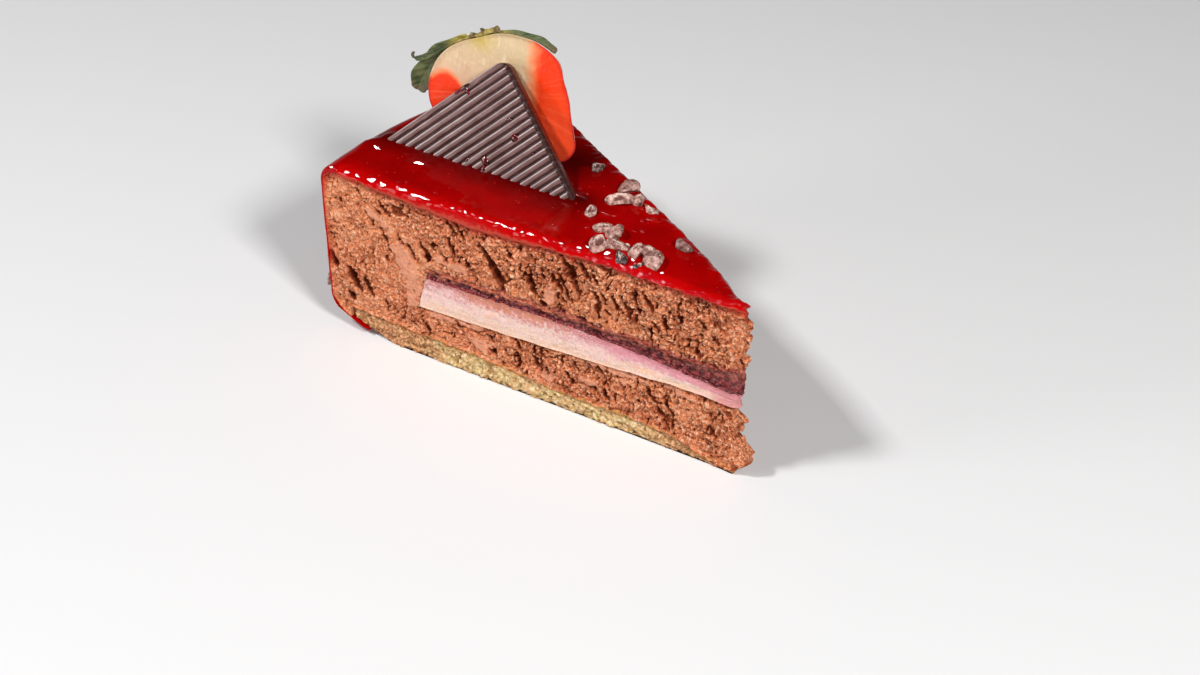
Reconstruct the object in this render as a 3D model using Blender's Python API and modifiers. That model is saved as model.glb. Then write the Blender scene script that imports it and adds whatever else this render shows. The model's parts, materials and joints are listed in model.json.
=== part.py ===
"""A slice of glazed chocolate mousse cake, cut from a round ring cake.

From the bottom up: a thin sponge base, chocolate mousse that wraps round a two-layer
insert (cream below, berry jelly above), and a red glaze over the top and the outer wall.
On top stand a ribbed triangle of chocolate and half a strawberry with its leaves, and
cocoa nibs lie in the glaze.

Frame: metres, +Z up, the flat underside at z = 0. The slice points along +X, its outer
arc faces -X, and the two cut faces open at HALF_ANGLE on either side of the X axis. The
place of a piece is given by its distance from the apex, the line where the two cut
planes would meet, and by its height.
"""
import math
import random

import bmesh
import bpy
from mathutils import Matrix, Vector, noise

MM = 0.001

# Driving dimensions of the slice
APEX_X = 61.6 * MM
HALF_ANGLE = math.radians(15.35)
CAKE_RADIUS = 120.6 * MM
TOP = 46.4 * MM
GAP = 0.3 * MM
NEAR_INWARD = Vector((-math.sin(HALF_ANGLE), math.cos(HALF_ANGLE), 0.0))
FAR_INWARD = Vector((-math.sin(HALF_ANGLE), -math.cos(HALF_ANGLE), 0.0))

# The tip: the far face curls in to meet the near face
TIP_RADIUS = 5.6 * MM
TIP_CURL = 5.8 * MM
TIP_WIDTH = 1.9 * MM

# The rounded outer corners of the ring mould
TOP_CORNER = 5.0 * MM
FOOT_START = 100.0 * MM
FOOT_RISE = 6.3 * MM

# The glaze
GLAZE_TOP_THICK = 1.8 * MM
GLAZE_WALL_THICK = 0.8 * MM
GLAZE_FOOT_RADIUS = 109.5 * MM
GLAZE_EDGE_ROUND = 2.2 * MM
GLAZE_EDGE_HEIGHT = 44.9 * MM
GLAZE_TIP_RADIUS = 5.5 * MM

# The sponge
SPONGE_RADIUS = 113.4 * MM
SPONGE_TIP_RADIUS = 8.0 * MM
SPONGE_TOP = (  # distance from the apex, height
    (8.0, 0.9), (14.0, 1.5), (25.0, 4.6), (36.0, 5.2), (51.0, 3.9),
    (66.0, 5.7), (90.0, 6.5), (113.4, 7.0),
)

# The insert: a cream disc with a berry jelly on it
INSERT_RADIUS = 92.2 * MM
CREAM_TIP_RADIUS = 7.2 * MM
JELLY_TIP_RADIUS = 6.8 * MM
CREAM_BASE = (  # distance from the apex, height
    (6.0, 19.3), (9.0, 18.9), (16.0, 19.0), (24.0, 18.8), (32.0, 18.2), (41.0, 17.4),
    (49.0, 16.9), (60.0, 16.3), (70.0, 15.8), (81.0, 15.3), (92.2, 14.8),
)
CREAM_TOP = (
    (6.0, 22.4), (10.0, 22.3), (16.0, 22.6), (24.0, 23.3), (32.0, 23.9), (41.0, 24.3),
    (49.0, 24.5), (60.0, 24.5), (70.0, 24.1), (81.0, 23.8), (92.2, 23.5),
)
JELLY_TOP = (
    (6.0, 28.5), (9.0, 28.2), (14.0, 27.3), (24.0, 26.9), (40.0, 26.9), (57.0, 26.8),
    (70.0, 26.5), (81.0, 26.0), (92.2, 25.5),
)

# The mousse
MOUSSE_RADIUS = 119.3 * MM
MOUSSE_STEP_RADIUS = 114.0 * MM
MOUSSE_TIP = (  # height, distance from the apex of the crumbly tip
    (0.0, 7.3), (4.3, 3.2), (7.1, 2.8), (9.9, 4.9), (11.5, 6.3), (15.8, 4.6),
    (18.3, 7.6), (24.0, 6.2), (28.5, 5.8), (31.0, 7.3), (36.8, 5.2), (40.3, 4.3),
    (43.0, 5.8), (46.4, 5.6),
)
CRUMB_DEPTH = 0.75 * MM
NEAR_HOLLOWS = (  # distance from the apex, height, half width, half height, depth
    (71.0, 31.5, 1.9, 4.6, 4.2), (61.8, 31.8, 1.8, 2.8, 3.2), (91.2, 30.0, 1.8, 2.8, 2.8),
    (96.0, 30.5, 1.6, 2.4, 2.2), (83.5, 34.5, 1.8, 3.2, 3.0), (53.2, 30.5, 1.6, 3.2, 2.6),
    (118.8, 19.0, 1.9, 3.6, 3.2), (113.2, 15.0, 2.0, 4.2, 3.8), (108.2, 14.2, 1.8, 3.0, 2.8),
    (66.0, 10.3, 2.4, 1.9, 2.2), (26.5, 9.8, 1.8, 2.8, 2.4), (15.5, 35.5, 2.2, 2.2, 1.6),
)
FAR_HOLLOW_COUNT = 16

# The ribbed chocolate triangle, half of a square cut from corner to corner
PLAQUE_LEFT = Vector((112.9 * MM, -14.2 * MM))
PLAQUE_LONG_SIDE = 53.6 * MM
PLAQUE_TURN = math.radians(14.7)
PLAQUE_LEAN = math.radians(64.0)
PLAQUE_THICK = 3.0 * MM
RIB_PITCH = 1.93 * MM
RIB_HEIGHT = 0.50 * MM
RIB_BORDER = 1.35 * MM
PLAQUE_RIM = 0.8 * MM
PLAQUE_CORNER = 1.6 * MM

# The half strawberry, its cut face turned to the near side
BERRY_FOOT = Vector((74.9 * MM, 8.4 * MM))
BERRY_TURN = math.radians(14.7)
BERRY_LEAN = math.radians(7.0)
BERRY_DEPTH = 10.5 * MM
CAP_START = math.radians(35.0)  # the cut lies past the middle, so the skin slopes in from it
BERRY_LIFT = 0.65 * MM
BERRY_CENTRE = (-17.5, 13.0)
BERRY_OUTLINE = (  # across and up on the cut face, from the foot, in millimetres
    (0.4, 0.9), (3.1, 4.8), (2.6, 7.9), (1.5, 11.8), (0.8, 15.6), (-1.0, 20.4),
    (-2.6, 24.7), (-7.4, 27.6), (-14.2, 28.4), (-20.5, 27.2), (-25.0, 25.1),
    (-29.5, 23.0), (-34.5, 19.3), (-37.8, 14.2), (-39.0, 8.6), (-37.6, 3.6),
    (-32.0, 0.6), (-26.0, 0.3), (-20.0, 0.2), (-14.0, 0.2), (-8.0, 0.3), (-3.5, 0.4),
)

# The leaves: root, middle and tip on the cut face, with the depth behind it, in millimetres
LEAF_THICK = 0.7 * MM
LEAF_CLEAR = 1.05
LEAF_STEPS = 7
HUB = (-22.4, 29.2, 0.8)
LEAVES = (  # root, middle, tip, widest, turn of its width about its length in degrees
    ((-30.0, 23.4, 0.6), (-38.5, 16.8, 1.8), (-45.4, 14.5, 2.0), 2.0, 78.0),
    ((-29.0, 23.0, 2.2), (-42.5, 13.8, 3.6), (-44.0, 5.4, 3.0), 6.2, 70.0),
    ((-28.0, 24.0, 2.6), (-36.6, 16.0, 7.9), (-36.0, 8.0, 7.5), 5.4, 0.0),
    ((-24.0, 26.0, 2.8), (-27.9, 21.5, 8.9), (-27.5, 11.0, 10.4), 6.0, 0.0),
    ((-21.0, 26.6, 2.4), (-13.7, 22.4, 9.0), (-11.5, 12.5, 9.4), 6.0, 0.0),
    ((-20.6, 27.2, 0.8), (-12.5, 28.6, 2.4), (-4.9, 26.1, 2.2), 2.9, 62.0),
)

# The cocoa nibs: distance from the apex, place across, length, width, height, turn
NIBS = (
    (68.5, 13.7, 3.9, 2.9, 2.4, 20), (56.6, 12.4, 4.8, 3.9, 3.6, 70), (53.7, 7.0, 6.8, 3.4, 3.0, 35),
    (51.3, 10.6, 3.4, 3.0, 3.0, 100), (47.0, 9.8, 4.4, 2.6, 2.0, 160), (55.7, -0.5, 3.1, 2.5, 2.2, 120),
    (48.2, -3.0, 4.8, 2.9, 2.6, 60), (45.2, -2.7, 4.6, 3.8, 3.2, 150), (43.7, -8.7, 4.4, 3.6, 4.0, 80),
    (41.2, -5.7, 4.8, 3.5, 3.0, 10), (37.6, -8.5, 4.6, 3.2, 2.8, 140), (35.6, -4.1, 6.2, 3.6, 3.4, 45),
    (31.1, -4.9, 5.3, 3.9, 3.6, 130), (31.3, 4.9, 5.0, 3.1, 2.6, 165),
)
WALL_NIB_HEIGHT = 11.4 * MM
NIB_SINK = 0.5


def clear_scene():
    for thing in list(bpy.data.objects):
        bpy.data.objects.remove(thing, do_unlink=True)


def make_collection(name):
    group = bpy.data.collections.new(name)
    bpy.context.scene.collection.children.link(group)
    return group


def make_material(name, colour, roughness):
    material = bpy.data.materials.new(name)
    material.use_nodes = True
    shader = material.node_tree.nodes["Principled BSDF"]
    shader.inputs["Base Color"].default_value = (*colour, 1.0)
    shader.inputs["Roughness"].default_value = roughness
    shader.inputs["Metallic"].default_value = 0.0
    return material


def add_object(name, bm, group, material=None, smooth=False):
    mesh = bpy.data.meshes.new(name)
    bm.to_mesh(mesh)
    bm.free()
    if smooth:
        mesh.shade_smooth()
    piece = bpy.data.objects.new(name, mesh)
    group.objects.link(piece)
    if material:
        mesh.materials.append(material)
    return piece


def smooth_step(low, high, x):
    t = min(1.0, max(0.0, (x - low) / (high - low)))
    return t * t * (3.0 - 2.0 * t)


def along_points(points, x):
    """Eased interpolation through (x, y) pairs in millimetres; x and the result in metres."""
    x = x / MM
    if x <= points[0][0]:
        return points[0][1] * MM
    for (x0, y0), (x1, y1) in zip(points, points[1:]):
        if x <= x1:
            return (y0 + (y1 - y0) * smooth_step(x0, x1, x)) * MM
    return points[-1][1] * MM


def bumps(scale, seed, *place):
    """Smooth noise between -1 and 1 with features of the given size."""
    spot = Vector((*place, 0.0)[:3]) / scale
    return noise.noise(spot + Vector((seed, seed * 1.7, seed * 0.3)))


def slice_width(radius):
    """Arc length across the slice, less what the far face curls in at the tip."""
    curl = math.exp(-max(0.0, radius - TIP_RADIUS) / TIP_CURL)
    return max(TIP_WIDTH, 2.0 * HALF_ANGLE * radius * (1.0 - curl))


def in_slice(radius, across, height):
    """The point at a distance from the apex, 0 at the near face to 1 at the far face."""
    angle = -HALF_ANGLE + across * slice_width(radius) / radius
    return Vector((APEX_X - radius * math.cos(angle), radius * math.sin(angle), height))


def even_cuts(low, high, count):
    return [low + (high - low) * k / count for k in range(count + 1)]


def edge_cuts(radius, edge_widths, middle_count):
    """Places across the slice: close together near both cut faces, even between them."""
    width = slice_width(radius)
    shrink = min(1.0, 0.3 * width / edge_widths[-1])
    near = [shrink * e / width for e in (0.0, *edge_widths)]
    middle = even_cuts(near[-1], 1.0 - near[-1], middle_count)[1:-1]
    return near + middle + [1.0 - t for t in reversed(near)]


def lattice(counts, place):
    """A cube cut into slices, each vertex moved to place(i, j, k)."""
    bm = bmesh.new()
    bmesh.ops.create_cube(bm, size=1.0, matrix=Matrix.Translation((0.5, 0.5, 0.5)))
    for axis, count in enumerate(counts):
        normal = Vector((0.0, 0.0, 0.0))
        normal[axis] = 1.0
        for cut in range(1, count):
            geometry = bm.verts[:] + bm.edges[:] + bm.faces[:]
            bmesh.ops.bisect_plane(
                bm, geom=geometry, dist=1e-6, plane_co=normal * (cut / count), plane_no=normal
            )
    for vert in bm.verts:
        i, j, k = (round(vert.co[axis] * counts[axis]) for axis in range(3))
        vert.co = place(i, j, k)
    return bm


def foot_height(radius):
    """The underside: flat, then rising under the rounded outer corner."""
    rise = max(0.0, (radius - FOOT_START) / (CAKE_RADIUS - FOOT_START))
    return FOOT_RISE * rise * rise


def wall_lumps(angle_place, height):
    """The outer wall isn't quite true."""
    return 0.35 * MM * bumps(13.0 * MM, 4.0, angle_place * 60.0 * MM, height)


def sponge_top(radius, across):
    uneven = 0.35 * MM * bumps(9.0 * MM, 7.0, radius, across * slice_width(radius))
    return along_points(SPONGE_TOP, radius) + uneven * smooth_step(8.0 * MM, 22.0 * MM, radius)


def cream_base(radius):
    return along_points(CREAM_BASE, radius)


def cream_top(radius):
    return along_points(CREAM_TOP, radius)


def jelly_top(radius, across):
    uneven = 0.35 * MM * bumps(8.0 * MM, 11.0, radius, across * slice_width(radius))
    return along_points(JELLY_TOP, radius) + uneven


def near_glaze_edge(radius):
    """Height of the glaze's lower edge where the knife dragged it down the near face."""
    drag = 2.6 * MM * math.exp(-(((radius - 80.0 * MM) / (23.0 * MM)) ** 2))
    return GLAZE_EDGE_HEIGHT - drag + 0.25 * MM * math.sin(radius / (4.1 * MM) + 1.0)


def far_glaze_edge(radius):
    drag = 1.9 * MM * math.exp(-(((radius - 60.0 * MM) / (30.0 * MM)) ** 2))
    return GLAZE_EDGE_HEIGHT - drag + 0.25 * MM * math.sin(radius / (5.3 * MM) + 2.0)


def glaze_underside(radius, across):
    width = slice_width(radius)
    level = TOP - GLAZE_TOP_THICK
    reach = 3.5 * MM
    near = (near_glaze_edge(radius) - level) * math.exp(-((across * width / reach) ** 2))
    far = (far_glaze_edge(radius) - level) * math.exp(-(((1.0 - across) * width / reach) ** 2))
    fade = smooth_step(GLAZE_TIP_RADIUS, 16.0 * MM, radius)
    return level + near + far * fade


def glaze_surface(radius, across):
    """The top of the glaze, rounded over towards both cut faces."""
    width = slice_width(radius)
    edge = min(across, 1.0 - across) * width
    rounding = min(GLAZE_EDGE_ROUND, 0.45 * width)
    short = max(0.0, 1.0 - edge / rounding)
    drop = 0.55 * rounding * (1.0 - math.sqrt(1.0 - 0.96 * short * short))
    swell = 0.12 * MM * bumps(17.0 * MM, 3.0, radius, across * width)
    return TOP - drop + swell


# Stations along the slice, from the outer wall to the tip, shared by mousse and glaze
TOP_START = CAKE_RADIUS - TOP_CORNER
LENGTH_CUTS = 41
TOP_RADII = even_cuts(MOUSSE_STEP_RADIUS, GLAZE_TIP_RADIUS, LENGTH_CUTS)
EDGE_WIDTHS = (0.9 * MM, 2.6 * MM)
MIDDLE_CUTS = 5
ACROSS_COUNT = 2 * len(EDGE_WIDTHS) + MIDDLE_CUTS
MOUSSE_ROWS = 16


def random_hollows(seed, count):
    """Hollows scattered over the upper mousse, closer together in its middle."""
    draw = random.Random(seed)
    for _ in range(count):
        radius = draw.triangular(14.0, 112.0, 62.0)
        height = draw.uniform(30.0, 40.0) if draw.random() < 0.75 else draw.uniform(7.5, 13.0)
        yield radius, height, draw.uniform(1.6, 2.2), draw.uniform(1.8, 4.2), draw.uniform(1.6, 3.8)


FAR_HOLLOWS = tuple(random_hollows(23, FAR_HOLLOW_COUNT))


def crag_depth(radius, height, hollows, seed):
    """How far the torn mousse lies behind the plane of the cut."""
    roughness = 1.0 + 0.8 * smooth_step(60.0 * MM, 15.0 * MM, radius)
    depth = 0.35 * MM + CRUMB_DEPTH * roughness * bumps(4.2 * MM, seed, radius, height)
    depth += 0.35 * MM * bumps(13.0 * MM, seed + 5.0, radius, height)
    for r0, z0, half_width, half_height, deep in hollows:
        off = ((radius / MM - r0) / half_width) ** 2 + ((height / MM - z0) / half_height) ** 2
        depth += deep * MM * math.exp(-off)
    return depth


def build_mousse(group, cutters, material):
    outer = [MOUSSE_RADIUS, 118.9 * MM, 118.0 * MM, 116.6 * MM, TOP_START, 114.5 * MM]
    radii = outer + TOP_RADII
    corner_width = MOUSSE_RADIUS - TOP_START
    corner_height = TOP_CORNER - GLAZE_TOP_THICK - GAP

    def low(radius, across):
        if radius <= MOUSSE_STEP_RADIUS:
            return sponge_top(radius, across) + GAP
        belly = 2.4 * MM * max(0.0, (radius - TOP_START) / corner_width) ** 2
        return foot_height(radius) + 1.4 * MM + belly

    def high(radius, across):
        if radius > TOP_START:
            share = (radius - TOP_START) / corner_width
            return TOP - TOP_CORNER + corner_height * math.sqrt(max(0.0, 1.0 - share * share))
        return glaze_underside(radius, across) - GAP

    def place(i, j, k):
        radius = radii[i]
        across = edge_cuts(radius, EDGE_WIDTHS, MIDDLE_CUTS)[j]
        low_z = low(radius, across)
        high_z = high(radius, across)
        height = low_z + (high_z - low_z) * k / MOUSSE_ROWS
        near_tip = smooth_step(20.0 * MM, GLAZE_TIP_RADIUS, radius)
        radius += (along_points(MOUSSE_TIP, height) - GLAZE_TIP_RADIUS) * near_tip
        if i == 0:
            radius += wall_lumps(across, height) - 0.2 * MM
        spot = in_slice(radius, across, height)
        fade = smooth_step(0.0, 2.5 * MM, high_z - height) * smooth_step(0.0, 1.5 * MM, height - low_z)
        fade *= smooth_step(MOUSSE_RADIUS + 0.1 * MM, 117.0 * MM, radius)
        limit = 0.3 * slice_width(radius)
        if j == 0:
            depth = crag_depth(radius, height, NEAR_HOLLOWS, 1.0)
            spot += NEAR_INWARD * min(limit, depth) * fade
        if j == ACROSS_COUNT:
            depth = crag_depth(radius, height, FAR_HOLLOWS, 2.0)
            spot += FAR_INWARD * min(limit, depth) * fade
        return spot

    counts = (len(radii) - 1, ACROSS_COUNT, MOUSSE_ROWS)
    mousse = add_object("mousse", lattice(counts, place), group, material)
    slot = mousse.modifiers.new("insert slot", "BOOLEAN")
    slot.operation = "DIFFERENCE"
    slot.object = build_insert_cutter(cutters)
    return mousse


def build_insert_cutter(cutters):
    """The room for the insert, past both cut faces and the tip."""
    radii = [INSERT_RADIUS + GAP] + even_cuts(90.0 * MM, 3.0 * MM, 24)
    spread = math.radians(24.0)

    def place(i, j, k):
        radius = radii[i]
        angle = -spread + 2.0 * spread * j / 6
        share = (angle + HALF_ANGLE) / (2.0 * HALF_ANGLE)
        height = cream_base(radius) - GAP
        if k:
            height = jelly_top(radius, min(1.0, max(0.0, share))) + 1.3 * GAP
        x = APEX_X - radius * math.cos(angle) + (30.0 * MM if i == len(radii) - 1 else 0.0)
        return Vector((x, max(radius, 20.0 * MM) * math.sin(angle), height))

    cutter = add_object("insert_cutter", lattice((len(radii) - 1, 6, 1), place), cutters)
    cutter.hide_render = True
    cutter.display_type = "WIRE"
    return cutter


def build_layer(name, group, material, radii, rows, low, high, wobble=0.0):
    """A layer that runs through the slice between two surfaces."""
    across_count = 5
    shares = even_cuts(0.0, 1.0, across_count)

    def place(i, j, k):
        radius = radii[i]
        low_z = low(radius, shares[j])
        height = low_z + (high(radius, shares[j]) - low_z) * k / rows
        spot = in_slice(radius, shares[j], height)
        if j in (0, across_count):
            inward = NEAR_INWARD if j == 0 else FAR_INWARD
            depth = 0.2 * MM + wobble * bumps(3.5 * MM, 6.0 + j, radius, height)
            spot += inward * min(depth, 0.25 * slice_width(radius))
        return spot

    return add_object(name, lattice((len(radii) - 1, across_count, rows), place), group, material)


def build_sponge(group, material):
    radii = even_cuts(SPONGE_RADIUS, SPONGE_TIP_RADIUS, 38)

    def low(radius, across):
        # the glaze runs in under the outer end
        return foot_height(radius) + 1.3 * MM * smooth_step(101.0 * MM, 108.0 * MM, radius)

    def high(radius, across):
        return sponge_top(radius, across)

    return build_layer("sponge_base", group, material, radii, 2, low, high, 0.45 * MM)


def build_cream(group, material):
    radii = even_cuts(INSERT_RADIUS, CREAM_TIP_RADIUS, 20)
    return build_layer(
        "cream_insert", group, material, radii, 1,
        lambda radius, across: cream_base(radius), lambda radius, across: cream_top(radius),
    )


def build_jelly(group, material):
    radii = [INSERT_RADIUS] + even_cuts(90.0 * MM, JELLY_TIP_RADIUS, 26)
    return build_layer(
        "berry_jelly", group, material, radii, 1,
        lambda radius, across: cream_top(radius) + GAP, jelly_top, 0.35 * MM,
    )


def glaze_stations():
    """Outer line of the glaze as (radius, height or None for the top, thickness)."""
    wall_low = 9.0 * MM
    wall_high = TOP - TOP_CORNER
    stations = [(r, foot_height(r), GLAZE_WALL_THICK) for r in even_cuts(GLAZE_FOOT_RADIUS, 118.2 * MM, 3)]
    stations.append((119.9 * MM, 6.7 * MM, GLAZE_WALL_THICK))
    stations += [(CAKE_RADIUS, z, GLAZE_WALL_THICK) for z in even_cuts(wall_low, wall_high, 7)]
    for step in range(1, 5):
        turn = math.pi / 2.0 * step / 4
        radius = TOP_START + TOP_CORNER * math.cos(turn)
        height = wall_high + TOP_CORNER * math.sin(turn)
        thick = GLAZE_WALL_THICK + (GLAZE_TOP_THICK - GLAZE_WALL_THICK) * math.sin(turn) ** 2
        stations.append((radius, height, thick))
    stations += [(r, None, 0.0) for r in TOP_RADII]
    return stations


def build_glaze(group, material, nib_material):
    stations = glaze_stations()
    count = len(stations) - 1

    def line(i, across):
        """Outer and inner point of the glaze's section at a station."""
        radius, height, thick = stations[i]
        if height is None:
            return (radius, glaze_surface(radius, across)), (radius, glaze_underside(radius, across))
        before = stations[max(0, i - 1)]
        after = stations[i + 1]
        after_height = TOP if after[1] is None else after[1]
        run = Vector((after[0] - before[0], after_height - before[1])).normalized()
        radius += wall_lumps(across, height) * smooth_step(4.0 * MM, 12.0 * MM, height)
        inner = (radius - run.y * thick, height + run.x * thick)
        return (radius, height), inner

    def place(i, j, k):
        across = edge_cuts(stations[i][0], EDGE_WIDTHS, MIDDLE_CUTS)[j]
        outer, inner = line(i, across)
        radius, height = inner if k == 0 else outer
        return in_slice(radius, across, height)

    glaze = add_object("glaze", lattice((count, ACROSS_COUNT, 1), place), group, material, True)
    glaze.data.materials.append(nib_material)
    fuse_nibs(glaze, nib_material)
    return glaze


def nib_shape(rng, length, width, height):
    """A broken shard: the hull of a few points on a squashed ball."""
    bm = bmesh.new()
    for _ in range(11):
        way = Vector([rng.gauss(0.0, 1.0) for _ in range(3)]).normalized()
        bm.verts.new((way.x * length / 2, way.y * width / 2, way.z * height / 2))
    hull = bmesh.ops.convex_hull(bm, input=bm.verts[:])
    loose = [item for item in hull["geom_interior"] if isinstance(item, bmesh.types.BMVert)]
    bmesh.ops.delete(bm, geom=loose, context="VERTS")
    bmesh.ops.recalc_face_normals(bm, faces=bm.faces[:])
    return bm


def fuse_nibs(glaze, material):
    """Sinks the nibs into the glaze and joins them to it with one union."""
    rng = random.Random(5)
    nibs = make_collection("nibs")
    for number, (away, side, length, width, height, turn) in enumerate(NIBS):
        bm = nib_shape(rng, length * MM, width * MM, height * MM)
        spot = Vector((APEX_X - away * MM, side * MM, TOP + NIB_SINK * height * MM / 2))
        bm.transform(Matrix.Translation(spot) @ Matrix.Rotation(math.radians(turn), 4, "Z"))
        add_object(f"nib_{number + 1}", bm, nibs, material)
    wall = in_slice(CAKE_RADIUS + 0.4 * MM, 0.035, WALL_NIB_HEIGHT)
    bm = nib_shape(rng, 3.0 * MM, 3.4 * MM, 4.4 * MM)
    bm.transform(Matrix.Translation(wall))
    add_object("nib_wall", bm, nibs, material)

    union = glaze.modifiers.new("nibs", "BOOLEAN")
    union.operation = "UNION"
    union.operand_type = "COLLECTION"
    union.collection = nibs
    union.solver = "MANIFOLD"
    evaluated = glaze.evaluated_get(bpy.context.evaluated_depsgraph_get())
    joined = bpy.data.meshes.new_from_object(evaluated)
    glaze.modifiers.clear()
    glaze.data = joined
    for nib in list(nibs.objects):
        bpy.data.objects.remove(nib, do_unlink=True)
    bpy.data.collections.remove(nibs)


def build_plaque(group, material):
    """A ribbed sheet, cut to a right-angled triangle that stands on its long side.

    It is made flat with its square corner at the origin and its legs on X and Y. The plain
    border lies along X, the ribs run along X and repeat along Y, and the ribs look up.
    """
    leg = PLAQUE_LONG_SIDE / math.sqrt(2.0)
    bm = bmesh.new()
    under = -PLAQUE_THICK
    profile = [(0.0, under), (0.0, -0.2 * MM), (0.3 * MM, 0.0), (RIB_BORDER - 0.5 * MM, 0.0)]
    groove = RIB_BORDER
    while groove < leg + RIB_PITCH:
        profile += [(groove, -RIB_HEIGHT), (groove + 0.30 * RIB_PITCH, -RIB_HEIGHT)]
        profile += [(groove + 0.50 * RIB_PITCH, -0.1 * MM), (groove + 0.75 * RIB_PITCH, 0.0)]
        groove += RIB_PITCH
    profile.append((groove, under))
    face = bm.faces.new([bm.verts.new((0.0, y, z)) for y, z in profile])
    swept = bmesh.ops.extrude_face_region(bm, geom=[face])["geom"]
    moved = [item for item in swept if isinstance(item, bmesh.types.BMVert)]
    bmesh.ops.translate(bm, verts=moved, vec=(leg * 1.2, 0.0, 0.0))
    bmesh.ops.recalc_face_normals(bm, faces=bm.faces[:])

    trim(bm, Vector((PLAQUE_RIM, 0.0, -0.15 * MM)), Vector((-0.6, 0.0, 1.0)).normalized())
    trim(bm, Vector((leg, 0.0, 0.0)), Vector((1.0, 1.0, 0.0)).normalized())
    trim(bm, Vector((PLAQUE_CORNER, 0.0, 0.0)), Vector((-1.0, -1.0, 0.0)).normalized())

    up = Vector((0.0, 0.0, 1.0))
    along = Vector((math.cos(PLAQUE_TURN), math.sin(PLAQUE_TURN), 0.0))
    back = Vector((-along.y, along.x, 0.0))
    rise = back * math.cos(PLAQUE_LEAN) + up * math.sin(PLAQUE_LEAN)
    left = Vector((APEX_X - PLAQUE_LEFT.x, PLAQUE_LEFT.y, TOP + GAP))
    right = left + along * PLAQUE_LONG_SIDE
    corner = left + (along + rise) * PLAQUE_LONG_SIDE / 2
    border_way = (left - corner).normalized()
    step_way = (right - corner).normalized()
    turn = Matrix((border_way, step_way, border_way.cross(step_way))).transposed().to_4x4()
    bm.transform(Matrix.Translation(corner) @ turn)
    trim(bm, Vector((0.0, 0.0, TOP + 0.9 * GAP)), -up)
    return add_object("chocolate_triangle", bm, group, material)


def trim(bm, point, outward):
    """Cuts off what lies outside a plane and closes the cut."""
    geometry = bm.verts[:] + bm.edges[:] + bm.faces[:]
    cut = bmesh.ops.bisect_plane(
        bm, geom=geometry, dist=1e-7, plane_co=point, plane_no=outward, clear_outer=True
    )
    edges = [item for item in cut["geom_cut"] if isinstance(item, bmesh.types.BMEdge)]
    bmesh.ops.holes_fill(bm, edges=edges, sides=0)
    bmesh.ops.recalc_face_normals(bm, faces=bm.faces[:])


def berry_frame():
    """The cut face's axes: across to the right, up the face, and back into the fruit."""
    across = Vector((math.cos(BERRY_TURN), math.sin(BERRY_TURN), 0.0))
    level_back = Vector((-across.y, across.x, 0.0))
    up = Vector((0.0, 0.0, 1.0))
    face_up = up * math.cos(BERRY_LEAN) + level_back * math.sin(BERRY_LEAN)
    back = across.cross(face_up) * -1.0
    foot = Vector((APEX_X - BERRY_FOOT.x, BERRY_FOOT.y, TOP + BERRY_LIFT))
    return foot, across, face_up, back


def berry_point(across, up, back):
    """A place given on the cut face in millimetres, in the slice's frame."""
    foot, right, face_up, inward = berry_frame()
    return foot + (right * across + face_up * up + inward * back) * MM


def outline_reach(angle):
    """Distance from the centre of the cut face to its outline, in millimetres."""
    spots = [(x - BERRY_CENTRE[0], y - BERRY_CENTRE[1]) for x, y in BERRY_OUTLINE]
    polar = sorted((math.atan2(y, x), math.hypot(x, y)) for x, y in spots)
    count = len(polar)
    for index in range(count):
        a0, r0 = polar[index]
        a1, r1 = polar[(index + 1) % count]
        span = (a1 - a0) % math.tau
        offset = (angle - a0) % math.tau
        if offset <= span:
            before = polar[index - 1][1]
            after = polar[(index + 2) % count][1]
            t = offset / span
            return 0.5 * (
                2.0 * r0 + (r1 - before) * t + (2.0 * before - 5.0 * r0 + 4.0 * r1 - after) * t * t
                + (3.0 * r0 - before - 3.0 * r1 + after) * t ** 3
            )
    return polar[0][1]


def build_strawberry(group, material):
    """The cap of a ball, its rim stretched to the outline of the cut face."""
    bm = bmesh.new()
    bmesh.ops.create_uvsphere(bm, u_segments=36, v_segments=14, radius=1.0)
    trim(bm, Vector((0.0, 0.0, 0.0)), Vector((0.0, 0.0, 1.0)))
    start = math.sin(CAP_START)
    for vert in bm.verts:
        share = math.asin(min(1.0, max(0.0, -vert.co.z))) / (math.pi / 2)
        turn = CAP_START + share * (math.pi / 2 - CAP_START)
        inside = math.hypot(vert.co.x, vert.co.y) < 1e-6
        reach = 0.0 if inside else math.cos(turn) / math.cos(CAP_START)
        angle = math.atan2(vert.co.y, vert.co.x)
        edge = 0.0 if inside else outline_reach(angle)
        depth = (math.sin(turn) - start) / (1.0 - start) * BERRY_DEPTH / MM
        vert.co = berry_point(
            BERRY_CENTRE[0] + math.cos(angle) * edge * reach,
            BERRY_CENTRE[1] + math.sin(angle) * edge * reach,
            depth,
        )
    return add_object("strawberry", bm, group, material, True)


def outside_berry(spot):
    """Pushes a place, given on the cut face in millimetres, out to clear the fruit."""
    start = math.sin(CAP_START)
    half_depth = BERRY_DEPTH / MM / (1.0 - start)
    middle = Vector((BERRY_CENTRE[0], BERRY_CENTRE[1], -half_depth * start))
    way = spot - middle
    reach = math.hypot(way.x, way.y) / outline_reach(math.atan2(way.y, way.x))
    size = math.hypot(reach * math.cos(CAP_START), way.z / half_depth)
    return middle + way * max(1.0, LEAF_CLEAR / size)


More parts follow.
